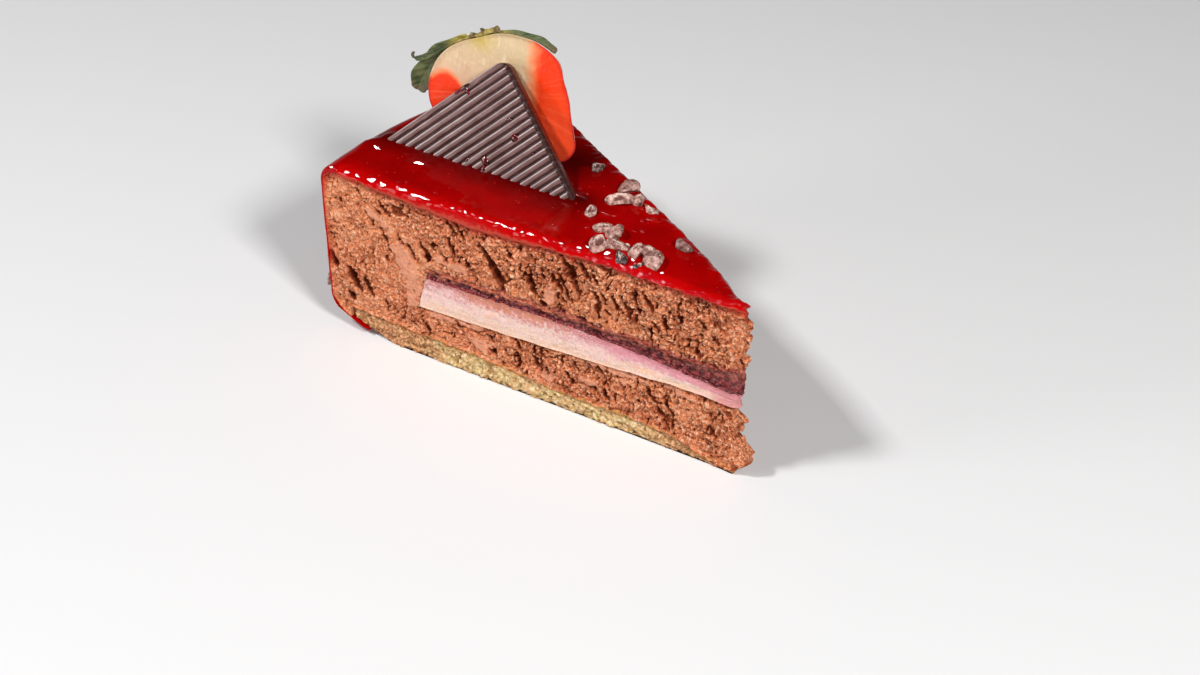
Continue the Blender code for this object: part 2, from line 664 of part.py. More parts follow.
def build_calyx(group, material):
    """A cap of thin leaves that meet in a small hub, thickened into one solid."""
    bm = bmesh.new()
    roots = [Vector(leaf[0]) for leaf in LEAVES]
    between = [(one + other) / 2 for one, other in zip(roots, roots[1:])]
    ends = [roots[0] + Vector((0.4, -0.9, -0.6)), roots[-1] + Vector((0.6, -0.6, -0.8))]
    ring = [
        bm.verts.new(berry_point(*outside_berry(spot))) for spot in (ends[0], *between, ends[1])
    ]
    hub = bm.verts.new(berry_point(*HUB))
    for index, leaf in enumerate(LEAVES):
        bm.faces.new((hub, ring[index], ring[index + 1]))
        add_leaf(bm, ring[index], ring[index + 1], leaf, index)
    bmesh.ops.recalc_face_normals(bm, faces=bm.faces[:])
    bmesh.ops.triangulate(bm, faces=bm.faces[:])
    calyx = add_object("strawberry_calyx", bm, group, material, True)
    solid = calyx.modifiers.new("thickness", "SOLIDIFY")
    solid.thickness = LEAF_THICK
    solid.offset = 0.0
    return calyx


def add_leaf(bm, left_root, right_root, leaf, number):
    """One leaf: a strip that starts at the hub, widens, waves and ends in a point."""
    root, middle, tip, widest, turn = leaf
    root, middle, tip = Vector(root), Vector(middle), Vector(tip)
    last = None
    for step in range(1, LEAF_STEPS + 1):
        t = step / LEAF_STEPS
        spot = root * (1 - t) ** 2 + middle * 2 * t * (1 - t) + tip * t * t
        way = ((middle - root) * (1 - t) + (tip - middle) * t).normalized()
        outward = Vector((spot.x - BERRY_CENTRE[0], spot.y - BERRY_CENTRE[1], spot.z)).normalized()
        side = Matrix.Rotation(math.radians(turn), 3, way) @ way.cross(outward).normalized()
        half = widest / 2 * math.sin(math.pi * (0.18 + 0.78 * t)) ** 0.8
        wave = math.sin(2.2 * math.tau * t + number)
        row = []
        for edge in (-1.0, 0.0, 1.0):
            lift = outward * (0.25 + 0.25 * wave * edge - 0.5 * abs(edge))
            row.append(bm.verts.new(berry_point(*outside_berry(spot + side * half * edge + lift))))
        if last:
            bm.faces.new((last[0], row[0], row[1], last[1]))
            bm.faces.new((last[1], row[1], row[2], last[2]))
        else:
            bm.faces.new((left_root, row[0], row[1]))
            bm.faces.new((left_root, row[1], right_root))
            bm.faces.new((right_root, row[1], row[2]))
        last = row


def main():
    clear_scene()
    parts = make_collection("chocolate_mousse_cake_slice")
    cutters = make_collection("cutters")
    build_sponge(parts, make_material("sponge", (0.72, 0.50, 0.20), 0.9))
    build_mousse(parts, cutters, make_material("mousse", (0.33, 0.15, 0.08), 0.8))
    build_cream(parts, make_material("cream", (0.88, 0.62, 0.58), 0.6))
    build_jelly(parts, make_material("berry_jelly", (0.14, 0.03, 0.05), 0.4))
    nib_material = make_material("cocoa_nib", (0.35, 0.22, 0.20), 0.8)
    build_glaze(parts, make_material("glaze", (0.50, 0.005, 0.01), 0.08), nib_material)
    build_plaque(parts, make_material("dark_chocolate", (0.07, 0.03, 0.03), 0.35))
    build_strawberry(parts, make_material("strawberry", (0.85, 0.20, 0.08), 0.35))
    build_calyx(parts, make_material("leaf", (0.10, 0.20, 0.06), 0.6))


main()
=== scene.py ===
# %% [markdown]
# # A slice of glazed chocolate mousse cake
#
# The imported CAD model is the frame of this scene: it says where every layer lies, and the
# pieces made here take the place of its plain solids. Lengths are written in millimetres and
# become metres when a mesh is made, because small whole numbers are easier to read.

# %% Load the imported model
import json
import math
import random

import bmesh
import bpy
import numpy as np
from mathutils import Matrix, Vector, noise

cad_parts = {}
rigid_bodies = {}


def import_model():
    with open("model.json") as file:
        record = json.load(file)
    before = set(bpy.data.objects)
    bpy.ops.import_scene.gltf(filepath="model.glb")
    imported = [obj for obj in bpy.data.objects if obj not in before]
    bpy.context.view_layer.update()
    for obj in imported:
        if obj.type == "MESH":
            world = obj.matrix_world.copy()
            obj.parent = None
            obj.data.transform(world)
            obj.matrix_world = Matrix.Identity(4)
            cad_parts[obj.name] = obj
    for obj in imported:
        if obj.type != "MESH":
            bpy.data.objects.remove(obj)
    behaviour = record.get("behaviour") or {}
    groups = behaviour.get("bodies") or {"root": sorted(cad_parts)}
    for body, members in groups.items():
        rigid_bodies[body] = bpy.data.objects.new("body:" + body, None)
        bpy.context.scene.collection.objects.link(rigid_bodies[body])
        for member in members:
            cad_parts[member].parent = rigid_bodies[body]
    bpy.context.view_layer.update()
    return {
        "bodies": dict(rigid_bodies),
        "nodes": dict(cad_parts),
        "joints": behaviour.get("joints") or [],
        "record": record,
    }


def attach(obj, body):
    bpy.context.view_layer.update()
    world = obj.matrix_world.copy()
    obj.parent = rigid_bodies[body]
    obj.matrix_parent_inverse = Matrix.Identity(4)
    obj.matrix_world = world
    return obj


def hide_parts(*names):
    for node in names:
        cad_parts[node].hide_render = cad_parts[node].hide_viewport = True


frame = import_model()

# %% [markdown]
# ## Camera and light
#
# The camera stands where the photo was taken from: half a metre away, 36 degrees above the
# table. Soft boxes could stand anywhere, but a wet glaze mirrors what is above it, so the
# places were chosen by that: one box overhead draws short white streaks along the rounded
# edge, one to the right gives the soft shadow on the left, and a wide one in front fills the
# cut face. The sky is pale at its horizon and dark above, so that the flat top of the glaze
# has nothing to mirror and stays deep red.

# %% Camera and soft boxes
MM = 0.001
PER_METRE = 1000.0
CAMERA_PLACE = Vector((0.2927, -0.2663, 0.2967))
CAMERA_WAY = Vector((-0.5898, 0.5525, -0.589))
CAMERA_LENS = 61.5
CAKE_MIDDLE = Vector((0.0, 0.0, 0.035))
BOX_OVERHEAD = Vector((-0.19, -0.47, 0.72))
WHITE, WARM_WHITE = (1.0, 1.0, 1.0), (1.0, 0.99, 0.975)


def link(thing):
    bpy.context.scene.collection.objects.link(thing)
    return thing


def look_along(thing, way):
    thing.rotation_euler = way.to_track_quat("-Z", "Y").to_euler()


camera = link(bpy.data.objects.new("camera", bpy.data.cameras.new("camera")))
camera.data.lens = CAMERA_LENS
camera.data.sensor_width = 36.0
camera.data.clip_start = 0.01
camera.location = CAMERA_PLACE
look_along(camera, CAMERA_WAY)
bpy.context.scene.camera = camera
bpy.context.scene.view_settings.view_transform = "Standard"


def soft_box(name, place, width, height, watts, tint=WHITE):
    """A rectangular lamp that faces the middle of the cake."""
    lamp = bpy.data.lights.new(name, "AREA")
    lamp.shape = "RECTANGLE"
    lamp.size, lamp.size_y = width, height
    lamp.energy = watts
    lamp.color = tint
    box = link(bpy.data.objects.new(name, lamp))
    box.location = place
    look_along(box, CAKE_MIDDLE - Vector(place))


soft_box("box_overhead", BOX_OVERHEAD, 0.14, 0.10, 4.4)
soft_box("box_right", (0.69, -0.16, 0.64), 0.17, 0.17, 6.8, WARM_WHITE)
soft_box("box_low", (-0.50, -0.92, 0.30), 0.40, 0.26, 3.0)
print("camera is", round(CAMERA_PLACE.length * 1000), "mm from the middle of the slice")

# %% [markdown]
# ## Nodes written as sums
#
# Most of the work below is done by node trees. They could be clicked together in the editor,
# but written down they can be read and changed like the rest. A small class lets a node's
# output take part in a sum: a + b makes an Add node, and so on. The nodes go into the tree
# that is being built.

# %% Node helpers
class Wire:
    """A node's output, which can be used in sums as a number can."""

    tree = None  # the tree that is being built

    def __init__(self, socket):
        self.socket = socket

    def part(self, axis):
        return node("ShaderNodeSeparateXYZ", {0: self}, axis)

    __add__ = lambda self, other: calc("ADD", self, other)
    __sub__ = lambda self, other: calc("SUBTRACT", self, other)
    __rsub__ = lambda self, other: calc("SUBTRACT", other, self)
    __mul__ = lambda self, other: calc("MULTIPLY", self, other)
    __truediv__ = lambda self, other: calc("DIVIDE", self, other)
    __rtruediv__ = lambda self, other: calc("DIVIDE", other, self)
    __pow__ = lambda self, other: calc("POWER", self, other)
    __lt__ = lambda self, other: calc("LESS_THAN", self, other)
    __gt__ = lambda self, other: calc("GREATER_THAN", self, other)
    __abs__ = lambda self: calc("ABSOLUTE", self)
    x = property(lambda self: self.part(0))
    y = property(lambda self: self.part(1))
    z = property(lambda self: self.part(2))


def put(socket, value):
    """Links a socket to a node's output, or sets its own value."""
    if isinstance(value, Wire):
        Wire.tree.links.new(value.socket, socket)
    elif isinstance(value, tuple) and len(value) == 3 and socket.type == "RGBA":
        socket.default_value = (*value, 1.0)
    else:
        socket.default_value = value


def node(kind, values=None, out=0, **settings):
    """Adds a node, gives its inputs their values, and returns one of its outputs."""
    made = Wire.tree.nodes.new(kind)
    for key, setting in settings.items():
        setattr(made, key, setting)
    for key, value in (values or {}).items():
        put(made.inputs[key], value)
    return Wire(made.outputs[out])


def is_vector(term):
    if isinstance(term, Wire):
        return term.socket.type in ("VECTOR", "RGBA")
    return isinstance(term, tuple)


def calc(operation, *terms):
    """A sum on numbers, or on vectors where one of the terms is a vector."""
    kind, values = "ShaderNodeMath", dict(enumerate(terms))
    if any(is_vector(term) for term in terms):
        kind = "ShaderNodeVectorMath"
        if operation == "MULTIPLY" and not is_vector(terms[1]):
            operation, values = "SCALE", {0: terms[0], "Scale": terms[1]}
    return node(kind, values, operation=operation)


def fade(value, low, high, to_low=0.0, to_high=1.0):
    """A smooth change from to_low to to_high while the value goes from low to high."""
    values = {0: value, 1: low, 2: high, 3: to_low, 4: to_high}
    return node("ShaderNodeMapRange", values, interpolation_type="SMOOTHSTEP")


def noise_at(place, size, detail=2.0, out=0, roughness=0.5):
    """Noise with features as wide as size, where place is in millimetres."""
    values = {"Vector": place, "Scale": 1.0 / size, "Detail": detail, "Roughness": roughness}
    return node("ShaderNodeTexNoise", values, out)


def cells_at(place, size):
    return node("ShaderNodeTexVoronoi", {"Vector": place, "Scale": 1.0 / size}, feature="F1")


def ramp(value, stops):
    """A colour ramp given as (place, colour) pairs."""
    made = node("ShaderNodeValToRGB", {0: value})
    band = made.socket.node.color_ramp
    while len(band.elements) < len(stops):
        band.elements.new(1.0)
    for element, (place, colour) in zip(band.elements, stops):
        element.position = place
        element.color = (*colour, 1.0)
    return made


# %% Sky and floor
FLOOR_HALF, FLOOR_DROP = 3, 0.0002

sky = bpy.data.worlds.new("sky")
bpy.context.scene.world = sky
sky.use_nodes = True
Wire.tree = sky.node_tree
put(sky.node_tree.nodes["Background"].inputs["Color"], ramp(
    node("ShaderNodeTexCoord").z * 0.5 + 0.5, [
        (0.0, (0.36, 0.36, 0.36)), (0.50, (0.36, 0.36, 0.37)), (0.62, (0.16, 0.16, 0.17)),
        (0.72, (0.012, 0.012, 0.012)), (0.88, (0.012, 0.012, 0.012)),
        (0.96, (0.06, 0.06, 0.06)),
    ],
))

floor_mesh = bpy.data.meshes.new("floor")
floor_corners = [
    (FLOOR_HALF * x, FLOOR_HALF * y, 0) for x, y in ((-1, -1), (1, -1), (1, 1), (-1, 1))
]
floor_mesh.from_pydata(floor_corners, [], [(0, 1, 2, 3)])
floor = link(bpy.data.objects.new("floor", floor_mesh))
floor.location.z = -FLOOR_DROP
floor_finish = bpy.data.materials.new("pale_table")
floor_finish.use_nodes = True
floor_shader = floor_finish.node_tree.nodes["Principled BSDF"]
floor_shader.inputs["Base Color"].default_value = (0.79, 0.79, 0.795, 1.0)
floor_shader.inputs["Roughness"].default_value = 0.7
floor_shader.inputs["Specular IOR Level"].default_value = 0.2
floor_mesh.materials.append(floor_finish)
print("floor is", 2 * FLOOR_HALF, "m wide")

# %% [markdown]
# ## The shape of the slice
#
# A point of the slice is given by its distance from the apex, where the two cuts would meet,
# its share of the way across from the near cut to the far one, and its height. Cylinder
# coordinates would do the same, but the share across lets one grid of cells serve every
# layer, however narrow the slice becomes towards its tip.

# %% Sizes and the slice's own coordinates
APEX_X = 61.6
HALF_ANGLE = math.radians(15.35)
CAKE_RADIUS = 120.6
TOP = 46.4
TIP_RADIUS, TIP_CURL, TIP_WIDTH = 5.6, 5.8, 1.9
TOP_CORNER = 5.0
FOOT_START, FOOT_RISE = 100.0, 6.3
NEAR_INWARD = np.array((-math.sin(HALF_ANGLE), math.cos(HALF_ANGLE), 0.0))
FAR_INWARD = np.array((-math.sin(HALF_ANGLE), -math.cos(HALF_ANGLE), 0.0))
LAP = 0.06  # neighbouring layers run this far into each other, so that no gap shows


def slice_width(radius):
    """Arc length across the slice, less what the far face curls in at the tip."""
    curl = np.exp(-np.maximum(0.0, radius - TIP_RADIUS) / TIP_CURL)
    return np.maximum(TIP_WIDTH, 2.0 * HALF_ANGLE * radius * (1.0 - curl))


def in_slice(radius, across, height):
    angle = -HALF_ANGLE + across * slice_width(radius) / radius
    x = APEX_X - radius * np.cos(angle)
    y = radius * np.sin(angle)
    return np.stack(np.broadcast_arrays(x, y, height), axis=-1)


def smooth_step(low, high, x):
    t = np.clip((x - low) / (high - low), 0.0, 1.0)
    return t * t * (3.0 - 2.0 * t)


def eased(points, x):
    """Eased interpolation through (x, y) pairs."""
    xs, ys = np.array(points, float).T
    index = np.clip(np.searchsorted(xs, x) - 1, 0, len(xs) - 2)
    t = np.clip((x - xs[index]) / (xs[index + 1] - xs[index]), 0.0, 1.0)
    return ys[index] + (ys[index + 1] - ys[index]) * t * t * (3.0 - 2.0 * t)


def bumps(size, seed, *place):
    """Smooth noise from -1 to 1 with lumps about as wide as size."""
    x, y, z = np.broadcast_arrays(*(*place, 0.0, 0.0)[:3])
    spots = np.stack([x.ravel(), y.ravel(), z.ravel()], axis=1) / size
    spots += np.array((seed, seed * 1.7, seed * 0.3))
    return np.array([noise.noise(spot) for spot in spots.tolist()]).reshape(x.shape)


def across_share(radius, cut, count, widths):
    """The share across of a cut: close together near both cut faces, even between them."""
    last = len(widths)
    width = slice_width(radius)
    shrink = np.minimum(1.0, 0.3 * width / widths[-1])
    steps = np.array((0.0, *widths))
    edge = steps[np.minimum(np.minimum(cut, count - cut), last)] * shrink / width
    rim = widths[-1] * shrink / width
    middle = rim + (1.0 - 2.0 * rim) * (cut - last) / (count - 2 * last)
    return np.where(cut <= last, edge, np.where(cut >= count - last, 1.0 - edge, middle))


print("slice is", round(float(slice_width(120.0)), 1), "mm wide at 120 mm from the apex")

# %% [markdown]
# ## One mesher for every layer
#
# Each layer is a bent box of small cells. A Boolean cut could open the room for the insert
# in the mousse, but it leaves long thin triangles where fine relief needs even ones. So the
# cells of that room are simply left out, and faces are put wherever a kept cell meets air.

# %% From cells to a closed mesh
def cell_skin(keep):
    """Lattice places and outward quads round the kept cells of a box of cells."""
    solid = np.pad(keep, 1).astype(np.int8)
    unit = np.eye(3, dtype=int)
    quads = []
    for axis in range(3):
        u, v = (unit[other] for other in range(3) if other != axis)
        change = np.diff(solid, axis=axis)
        for sign in (1, -1):
            base = np.argwhere(change == sign) - (1 - unit[axis])
            corners = [base, base + u, base + u + v, base + v]
            if (sign == 1) != (axis == 1):
                corners.reverse()
            quads.append(np.stack(corners, axis=1))
    quads = np.concatenate(quads)
    places, faces = np.unique(quads.reshape(-1, 3), axis=0, return_inverse=True)
    return places, faces.reshape(-1, 4)


def add_piece(name, points, faces, fields=None, crisp=False):
    """A smooth-shaded object from points in millimetres, with its named fields."""
    mesh = bpy.data.meshes.new(name)
    faces = faces.tolist() if isinstance(faces, np.ndarray) else faces
    mesh.from_pydata((np.asarray(points) * MM).tolist(), [], faces)
    for key, values in (fields or {}).items():
        values = np.asarray(values, np.float32)
        kind, slot = ("FLOAT_VECTOR", "vector") if values.ndim == 2 else ("FLOAT", "value")
        mesh.attributes.new(key, kind, "POINT").data.foreach_set(slot, values.ravel())
    mesh.shade_smooth()
    if crisp:
        mesh.set_sharp_from_angle(angle=math.radians(70.0))
    piece = bpy.data.objects.new(name, mesh)
    bpy.context.scene.collection.objects.link(piece)
    return piece


def flatten(piece):
    """Turns what the modifiers made into the piece's own plain mesh."""
    ready = piece.evaluated_get(bpy.context.evaluated_depsgraph_get())
    mesh = bpy.data.meshes.new_from_object(ready)
    piece.modifiers.clear()
    piece.data = mesh
    return piece


def finish(piece, node_name=None, material=None):
    """Says what the piece rides on, and the CAD node that it stands for."""
    if material:
        piece.data.materials.clear()
        piece.data.materials.append(material)
    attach(piece, "root")
    if node_name:
        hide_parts(node_name)
    triangles = sum(len(face.vertices) - 2 for face in piece.data.polygons)
    print(f"{piece.name}: {triangles} triangles")
    return piece


# %% [markdown]
# ## Geometry Nodes: a tree for torn crumb
#
# A knife drags through mousse and sponge and tears out pores and crumbs. Sculpting that by
# hand takes hours, and a bump map leaves the silhouette smooth. A small tree does it instead:
# it reads where each point lies on its cut face, adds up cells of three sizes, and pushes the
# point inwards. The same tree serves mousse, sponge, cream and jelly with other sizes.

# %% The torn crumb tree
HALF = (0.5, 0.5, 0.5)
VECTOR = "FLOAT_VECTOR"


def new_tree(name, *numbers, **others):
    """Starts a Geometry Nodes tree with a geometry in and out, and its named inputs."""
    Wire.tree = tree = bpy.data.node_groups.new(name, "GeometryNodeTree")
    tree.interface.new_socket("Geometry", in_out="OUTPUT", socket_type="NodeSocketGeometry")
    inputs = {"Geometry": "Geometry", **dict.fromkeys(numbers, "Float"), **others}
    for label, kind in (inputs | {"Material": "Material"}).items():
        tree.interface.new_socket(label, in_out="INPUT", socket_type="NodeSocket" + kind)
    entry = tree.nodes.new("NodeGroupInput")
    return {socket.name: Wire(socket) for socket in entry.outputs}


def end_tree(geometry, given):
    """Closes a tree: plain meshes instead of instances, smooth, with their material."""
    geometry = node("GeometryNodeRealizeInstances", {0: geometry})
    geometry = node("GeometryNodeSetShadeSmooth", {0: geometry})
    geometry = node("GeometryNodeSetMaterial", {0: geometry, "Material": given["Material"]})
    put(Wire.tree.nodes.new("NodeGroupOutput").inputs[0], geometry)
    print(Wire.tree.name, "tree has", len(Wire.tree.nodes), "nodes")
    return Wire.tree


def run_tree(piece, tree, values):
    """Sets the tree's inputs by their identifiers, then keeps the result as a plain mesh."""
    step = piece.modifiers.new(tree.name, "NODES")
    step.node_group = tree
    for socket in tree.interface.items_tree:
        if socket.in_out == "INPUT" and socket.name in values:
            step[socket.identifier] = values[socket.name]
    return flatten(piece)


def read_field(name, kind="FLOAT"):
    return node("GeometryNodeInputNamedAttribute", {"Name": name}, data_type=kind)


def write_field(geometry, name, value, kind="FLOAT"):
    values = {0: geometry, "Name": name, 3: value}
    return node("GeometryNodeStoreNamedAttribute", values, data_type=kind)


def move(geometry, offset):
    return node("GeometryNodeSetPosition", {0: geometry, "Offset": offset})


def folds(spot, size, narrow, wide):
    """Thin winding lines, where a noise passes its middle."""
    return fade(abs(noise_at(spot, size, 1.5) - 0.5), narrow, wide, 1.0, 0.0)


CRUMB_SIZES = ("Grain size", "Grain depth", "Crack size", "Crack depth", "Pore size", "Pore depth")


def crumb_tree():
    given = new_tree("torn crumb", *CRUMB_SIZES)
    grain_size, grain_depth, crack_size, crack_depth, pore_size, pore_depth = (
        given[name] for name in CRUMB_SIZES
    )
    place = read_field("cut", VECTOR)
    smear = read_field("smear")
    bent = (noise_at(place, 1.7, 3.0, 1) - HALF) * (1.6, 1.6, 0.0) + place

    grains = fade(noise_at(bent, grain_size, 3.0, roughness=0.6), 0.62, 0.36)
    grains = fade(cells_at(bent, grain_size * 2.4), 0.15, 0.85) * 0.6 + grains
    grains = folds(bent, grain_size * 0.8, 0.01, 0.07) * 0.55 + grains
    cracks = folds(bent * (1.0, 0.62, 1.0), crack_size, 0.012, 0.05)
    cracks = cracks * fade(noise_at(place, 4.0, 3.0), 0.47, 0.62)
    pores = fade(noise_at(bent * (1.2, 0.8, 1.0), pore_size, 1.5), 0.60, 0.68)

    torn = grains * grain_depth + cracks * crack_depth + pores * pore_depth
    torn = torn * read_field("rough") * (1.0 - smear)
    drag = noise_at(place * (0.3, 1.2, 1.0), 1.0) * 0.12
    depth = drag * smear + torn + read_field("hollow")
    total = calc("MINIMUM", depth + read_field("base"), read_field("limit"))
    moved = move(given["Geometry"], read_field("inward", VECTOR) * (total * MM))
    return end_tree(write_field(moved, "depth", depth), given)


CRUMB_TREE = crumb_tree()


def tear(piece, sizes, material):
    """Runs the crumb tree, with its six sizes in millimetres."""
    return run_tree(piece, CRUMB_TREE, dict(zip(CRUMB_SIZES, sizes), Material=material))


# %% [markdown]
# ## Materials: shared bricks
#
# Every finish starts from a point's place in the object, in millimetres, so that a pattern
# keeps its real size and never slides. A texture laid on by UV would stretch over the torn
# relief, and a picture can't be used at all. The colour is then laid on in coats, each where
# its share is high, as a painter would do it.

# %% Helpers for the finishes
def blend(share, one, other):
    values = {0: share, 6: one, 7: other}
    return node("ShaderNodeMix", values, 2, data_type="RGBA")


def coats(colour, *layers):
    """Lays (share, colour) pairs over a first colour."""
    for share, tint in layers:
        colour = blend(share, colour, tint)
    return colour


def new_finish(name, **sockets):
    """A Principled material, and the object's coordinates in millimetres."""
    material = bpy.data.materials.new(name)
    material.use_nodes = True
    Wire.tree = material.node_tree
    for key, value in sockets.items():
        put(Wire.tree.nodes["Principled BSDF"].inputs[key.replace("_", " ")], value)
    return material, node("ShaderNodeTexCoord", out=3) * PER_METRE


def shade(material, colour, rough=None, height=None, distance=0.1, strength=1.0):
    """Links the colour, the roughness and a bump whose height is in millimetres."""
    sockets = Wire.tree.nodes["Principled BSDF"].inputs
    put(sockets["Base Color"], colour)
    if rough is not None:
        put(sockets["Roughness"], rough)
    if height is not None:
        values = {"Height": height, "Distance": distance * MM, "Strength": strength}
        put(sockets["Normal"], node("ShaderNodeBump", values))
    print(material.name, "finish has", len(Wire.tree.nodes), "nodes")
    return material


def field(name, out=2):
    return node("ShaderNodeAttribute", out=out, attribute_name=name)


def mousse_finish(name, on_face):
    """Milk-brown mousse: tan crumb, pores painted dark as shade, red where glaze has soaked in."""
    material, place = new_finish(name, Specular_IOR_Level=0.14)
    patch = noise_at(place, 11.0, 3.0)
    colour = blend(fade(patch, 0.35, 0.65), (0.73, 0.250, 0.108), (0.67, 0.205, 0.088))
    grain = noise_at(place, 0.80, 4.0, roughness=0.60)
    seam = fade(abs(noise_at(place, 0.85) - 0.5), 0.006, 0.045)
    # Painted light and shade: grain tops lighter, low grain and thin seams darker.
    spots = calc("MAXIMUM", fade(grain, 0.45, 0.35), seam * -0.7 + 0.7)
    tops = fade(grain, 0.52, 0.64)
    if on_face:
        plain = 1.0 - field("smear") * 0.65
        plain = plain * fade(field("rough"), 0.55, 1.25, 0.45, 1.0)
        spots, tops = spots * plain, tops * plain
    colour = coats(colour, (tops * 0.80, (0.97, 0.62, 0.41)), (spots * 0.78, (0.27, 0.036, 0.006)))
    if on_face:
        depth = field("depth")
        ragged = noise_at(place, 0.9, 3.0) * 0.9 + -0.45
        colour = coats(
            # Painted shade where the tear is deep, painted light where it is shallow.
            colour,
            (fade(depth, 0.50, 1.20, 0.0, 0.92), (0.20, 0.026, 0.005)),
            (fade(depth, 0.32, 0.05, 0.0, 0.50), (0.98, 0.57, 0.37)),
            (field("smear") * 0.50, (0.58, 0.190, 0.110)),
            (fade(field("stain") + ragged, 0.12, 0.95, 0.0, 0.90), (0.66, 0.040, 0.022)),
            (fade(field("juice") + ragged, 0.3, 0.95, 0.0, 0.7), (0.30, 0.06, 0.07)),
        )
    rough = fade(grain, 0.3, 0.7, 0.60, 0.80)
    return shade(material, colour, rough, seam * 0.40 + grain, 0.40, 1.0)


MOUSSE = mousse_finish("milk_chocolate_mousse", True)
MOUSSE_CRUMB = mousse_finish("mousse_crumb", False)

# %% [markdown]
# ## Mousse
#
# The mousse is the body of the slice. Its cut face shows fine pores at the outer end, smooth
# smears where the knife pressed, deep leaning slits where it tore, and coarse crumbs towards
# the tip. The slits and smears that can be told apart are placed one by one from a table, and
# the tree adds the rest.

# %% Levels of the layers
SPONGE_RADIUS, SPONGE_TIP_RADIUS = 113.4, 8.0
SPONGE_TOP = (
    (8.0, 0.9), (14.0, 1.5), (25.0, 4.6), (36.0, 5.2), (51.0, 4.6),
    (66.0, 5.9), (90.0, 6.5), (113.4, 7.0),
)
INSERT_RADIUS, CREAM_TIP_RADIUS, JELLY_TIP_RADIUS = 92.2, 7.2, 6.8
CREAM_BASE = (
    (6.0, 19.3), (9.0, 18.7), (16.0, 19.0), (24.0, 18.8), (32.0, 18.2), (41.0, 17.4),
    (49.0, 16.9), (60.0, 16.3), (70.0, 15.8), (81.0, 15.3), (92.2, 14.8),
)
CREAM_TOP = (
    (6.0, 22.6), (10.0, 22.2), (16.0, 22.6), (24.0, 23.3), (32.0, 23.9), (41.0, 24.3),
    (49.0, 24.5), (60.0, 24.5), (70.0, 24.1), (81.0, 23.8), (92.2, 23.5),
)
JELLY_TOP = (
    (6.0, 28.6), (9.0, 28.2), (14.0, 27.3), (24.0, 26.9), (40.0, 26.9), (57.0, 26.8),
    (70.0, 26.5), (81.0, 26.0), (92.2, 25.5),
)
GLAZE_TOP_THICK, GLAZE_WALL_THICK, GLAZE_TIP_RADIUS = 1.8, 0.8, 6.4
GLAZE_EDGE = (  # height of the glaze's cut lower edge along the near face
    (5.5, 44.8), (15.8, 45.1), (25.8, 45.0), (39.2, 45.1), (53.5, 44.2), (67.6, 43.0),
    (78.5, 42.4), (88.6, 43.3), (100.0, 43.6), (110.0, 44.4), (118.0, 44.9),
)
MOUSSE_RADIUS, MOUSSE_STEP_RADIUS = 119.85, 114.0
MOUSSE_TIP = (
    (0.0, 8.0), (4.3, 4.6), (7.1, 4.3), (9.9, 5.9), (11.5, 7.0), (15.8, 6.0),
    (18.3, 8.1), (24.0, 7.0), (28.5, 6.6), (31.0, 7.7), (36.8, 6.3), (40.3, 5.8),
    (43.0, 6.8), (46.4, 6.6),
)


def foot_height(radius):
    rise = np.maximum(0.0, (radius - FOOT_START) / (CAKE_RADIUS - FOOT_START))
    return FOOT_RISE * rise * rise


def wall_lumps(across, height):
    return 0.35 * bumps(13.0, 4.0, across * 60.0, height)


def sponge_top(radius, across):
    place = across * slice_width(radius)
    uneven = 0.35 * bumps(9.0, 7.0, radius, place) * smooth_step(8.0, 22.0, radius)
    return (
        eased(SPONGE_TOP, radius) + uneven + 0.5 * bumps(2.3, 71.0, radius, place)
        + 0.25 * bumps(1.1, 70.0, radius, place)
    )


def lean_end(radius, height):
    """The insert's outer end leans: its foot reaches further out than its top."""
    lean = 0.9 - 2.5 * smooth_step(14.7, 25.5, height)
    return radius + lean * np.exp(-(((radius - INSERT_RADIUS) / 5.0) ** 2))


def cream_base(radius):
    return eased(CREAM_BASE, radius) + 0.12 * bumps(2.4, 79.0, radius)


def cream_top(radius):
    return eased(CREAM_TOP, radius) + 0.22 * bumps(1.7, 78.0, radius)


def jelly_top(radius, across):
    place = across * slice_width(radius)
    lumps = 0.35 * bumps(8.0, 11.0, radius, place) + 0.80 * bumps(2.6, 72.0, radius, place)
    return eased(JELLY_TOP, radius) + lumps + 0.35 * bumps(1.1, 73.0, radius, place)


def near_glaze_edge(radius):
    return (
        eased(GLAZE_EDGE, radius) + 0.50 * bumps(3.1, 74.0, radius)
        + 0.50 * bumps(1.3, 75.0, radius)
    )


def far_glaze_edge(radius):
    drag = 1.9 * np.exp(-(((radius - 60.0) / 30.0) ** 2))
    return 44.9 - drag + 0.35 * bumps(3.1, 76.0, radius) + 0.16 * bumps(1.1, 77.0, radius)


def glaze_underside(radius, across):
    width = slice_width(radius)
    level = TOP - GLAZE_TOP_THICK
    near = (near_glaze_edge(radius) - level) * np.exp(-((across * width / 3.5) ** 2))
    far = (far_glaze_edge(radius) - level) * np.exp(-(((1.0 - across) * width / 3.5) ** 2))
    return level + near + far * smooth_step(GLAZE_TIP_RADIUS, 16.0, radius)


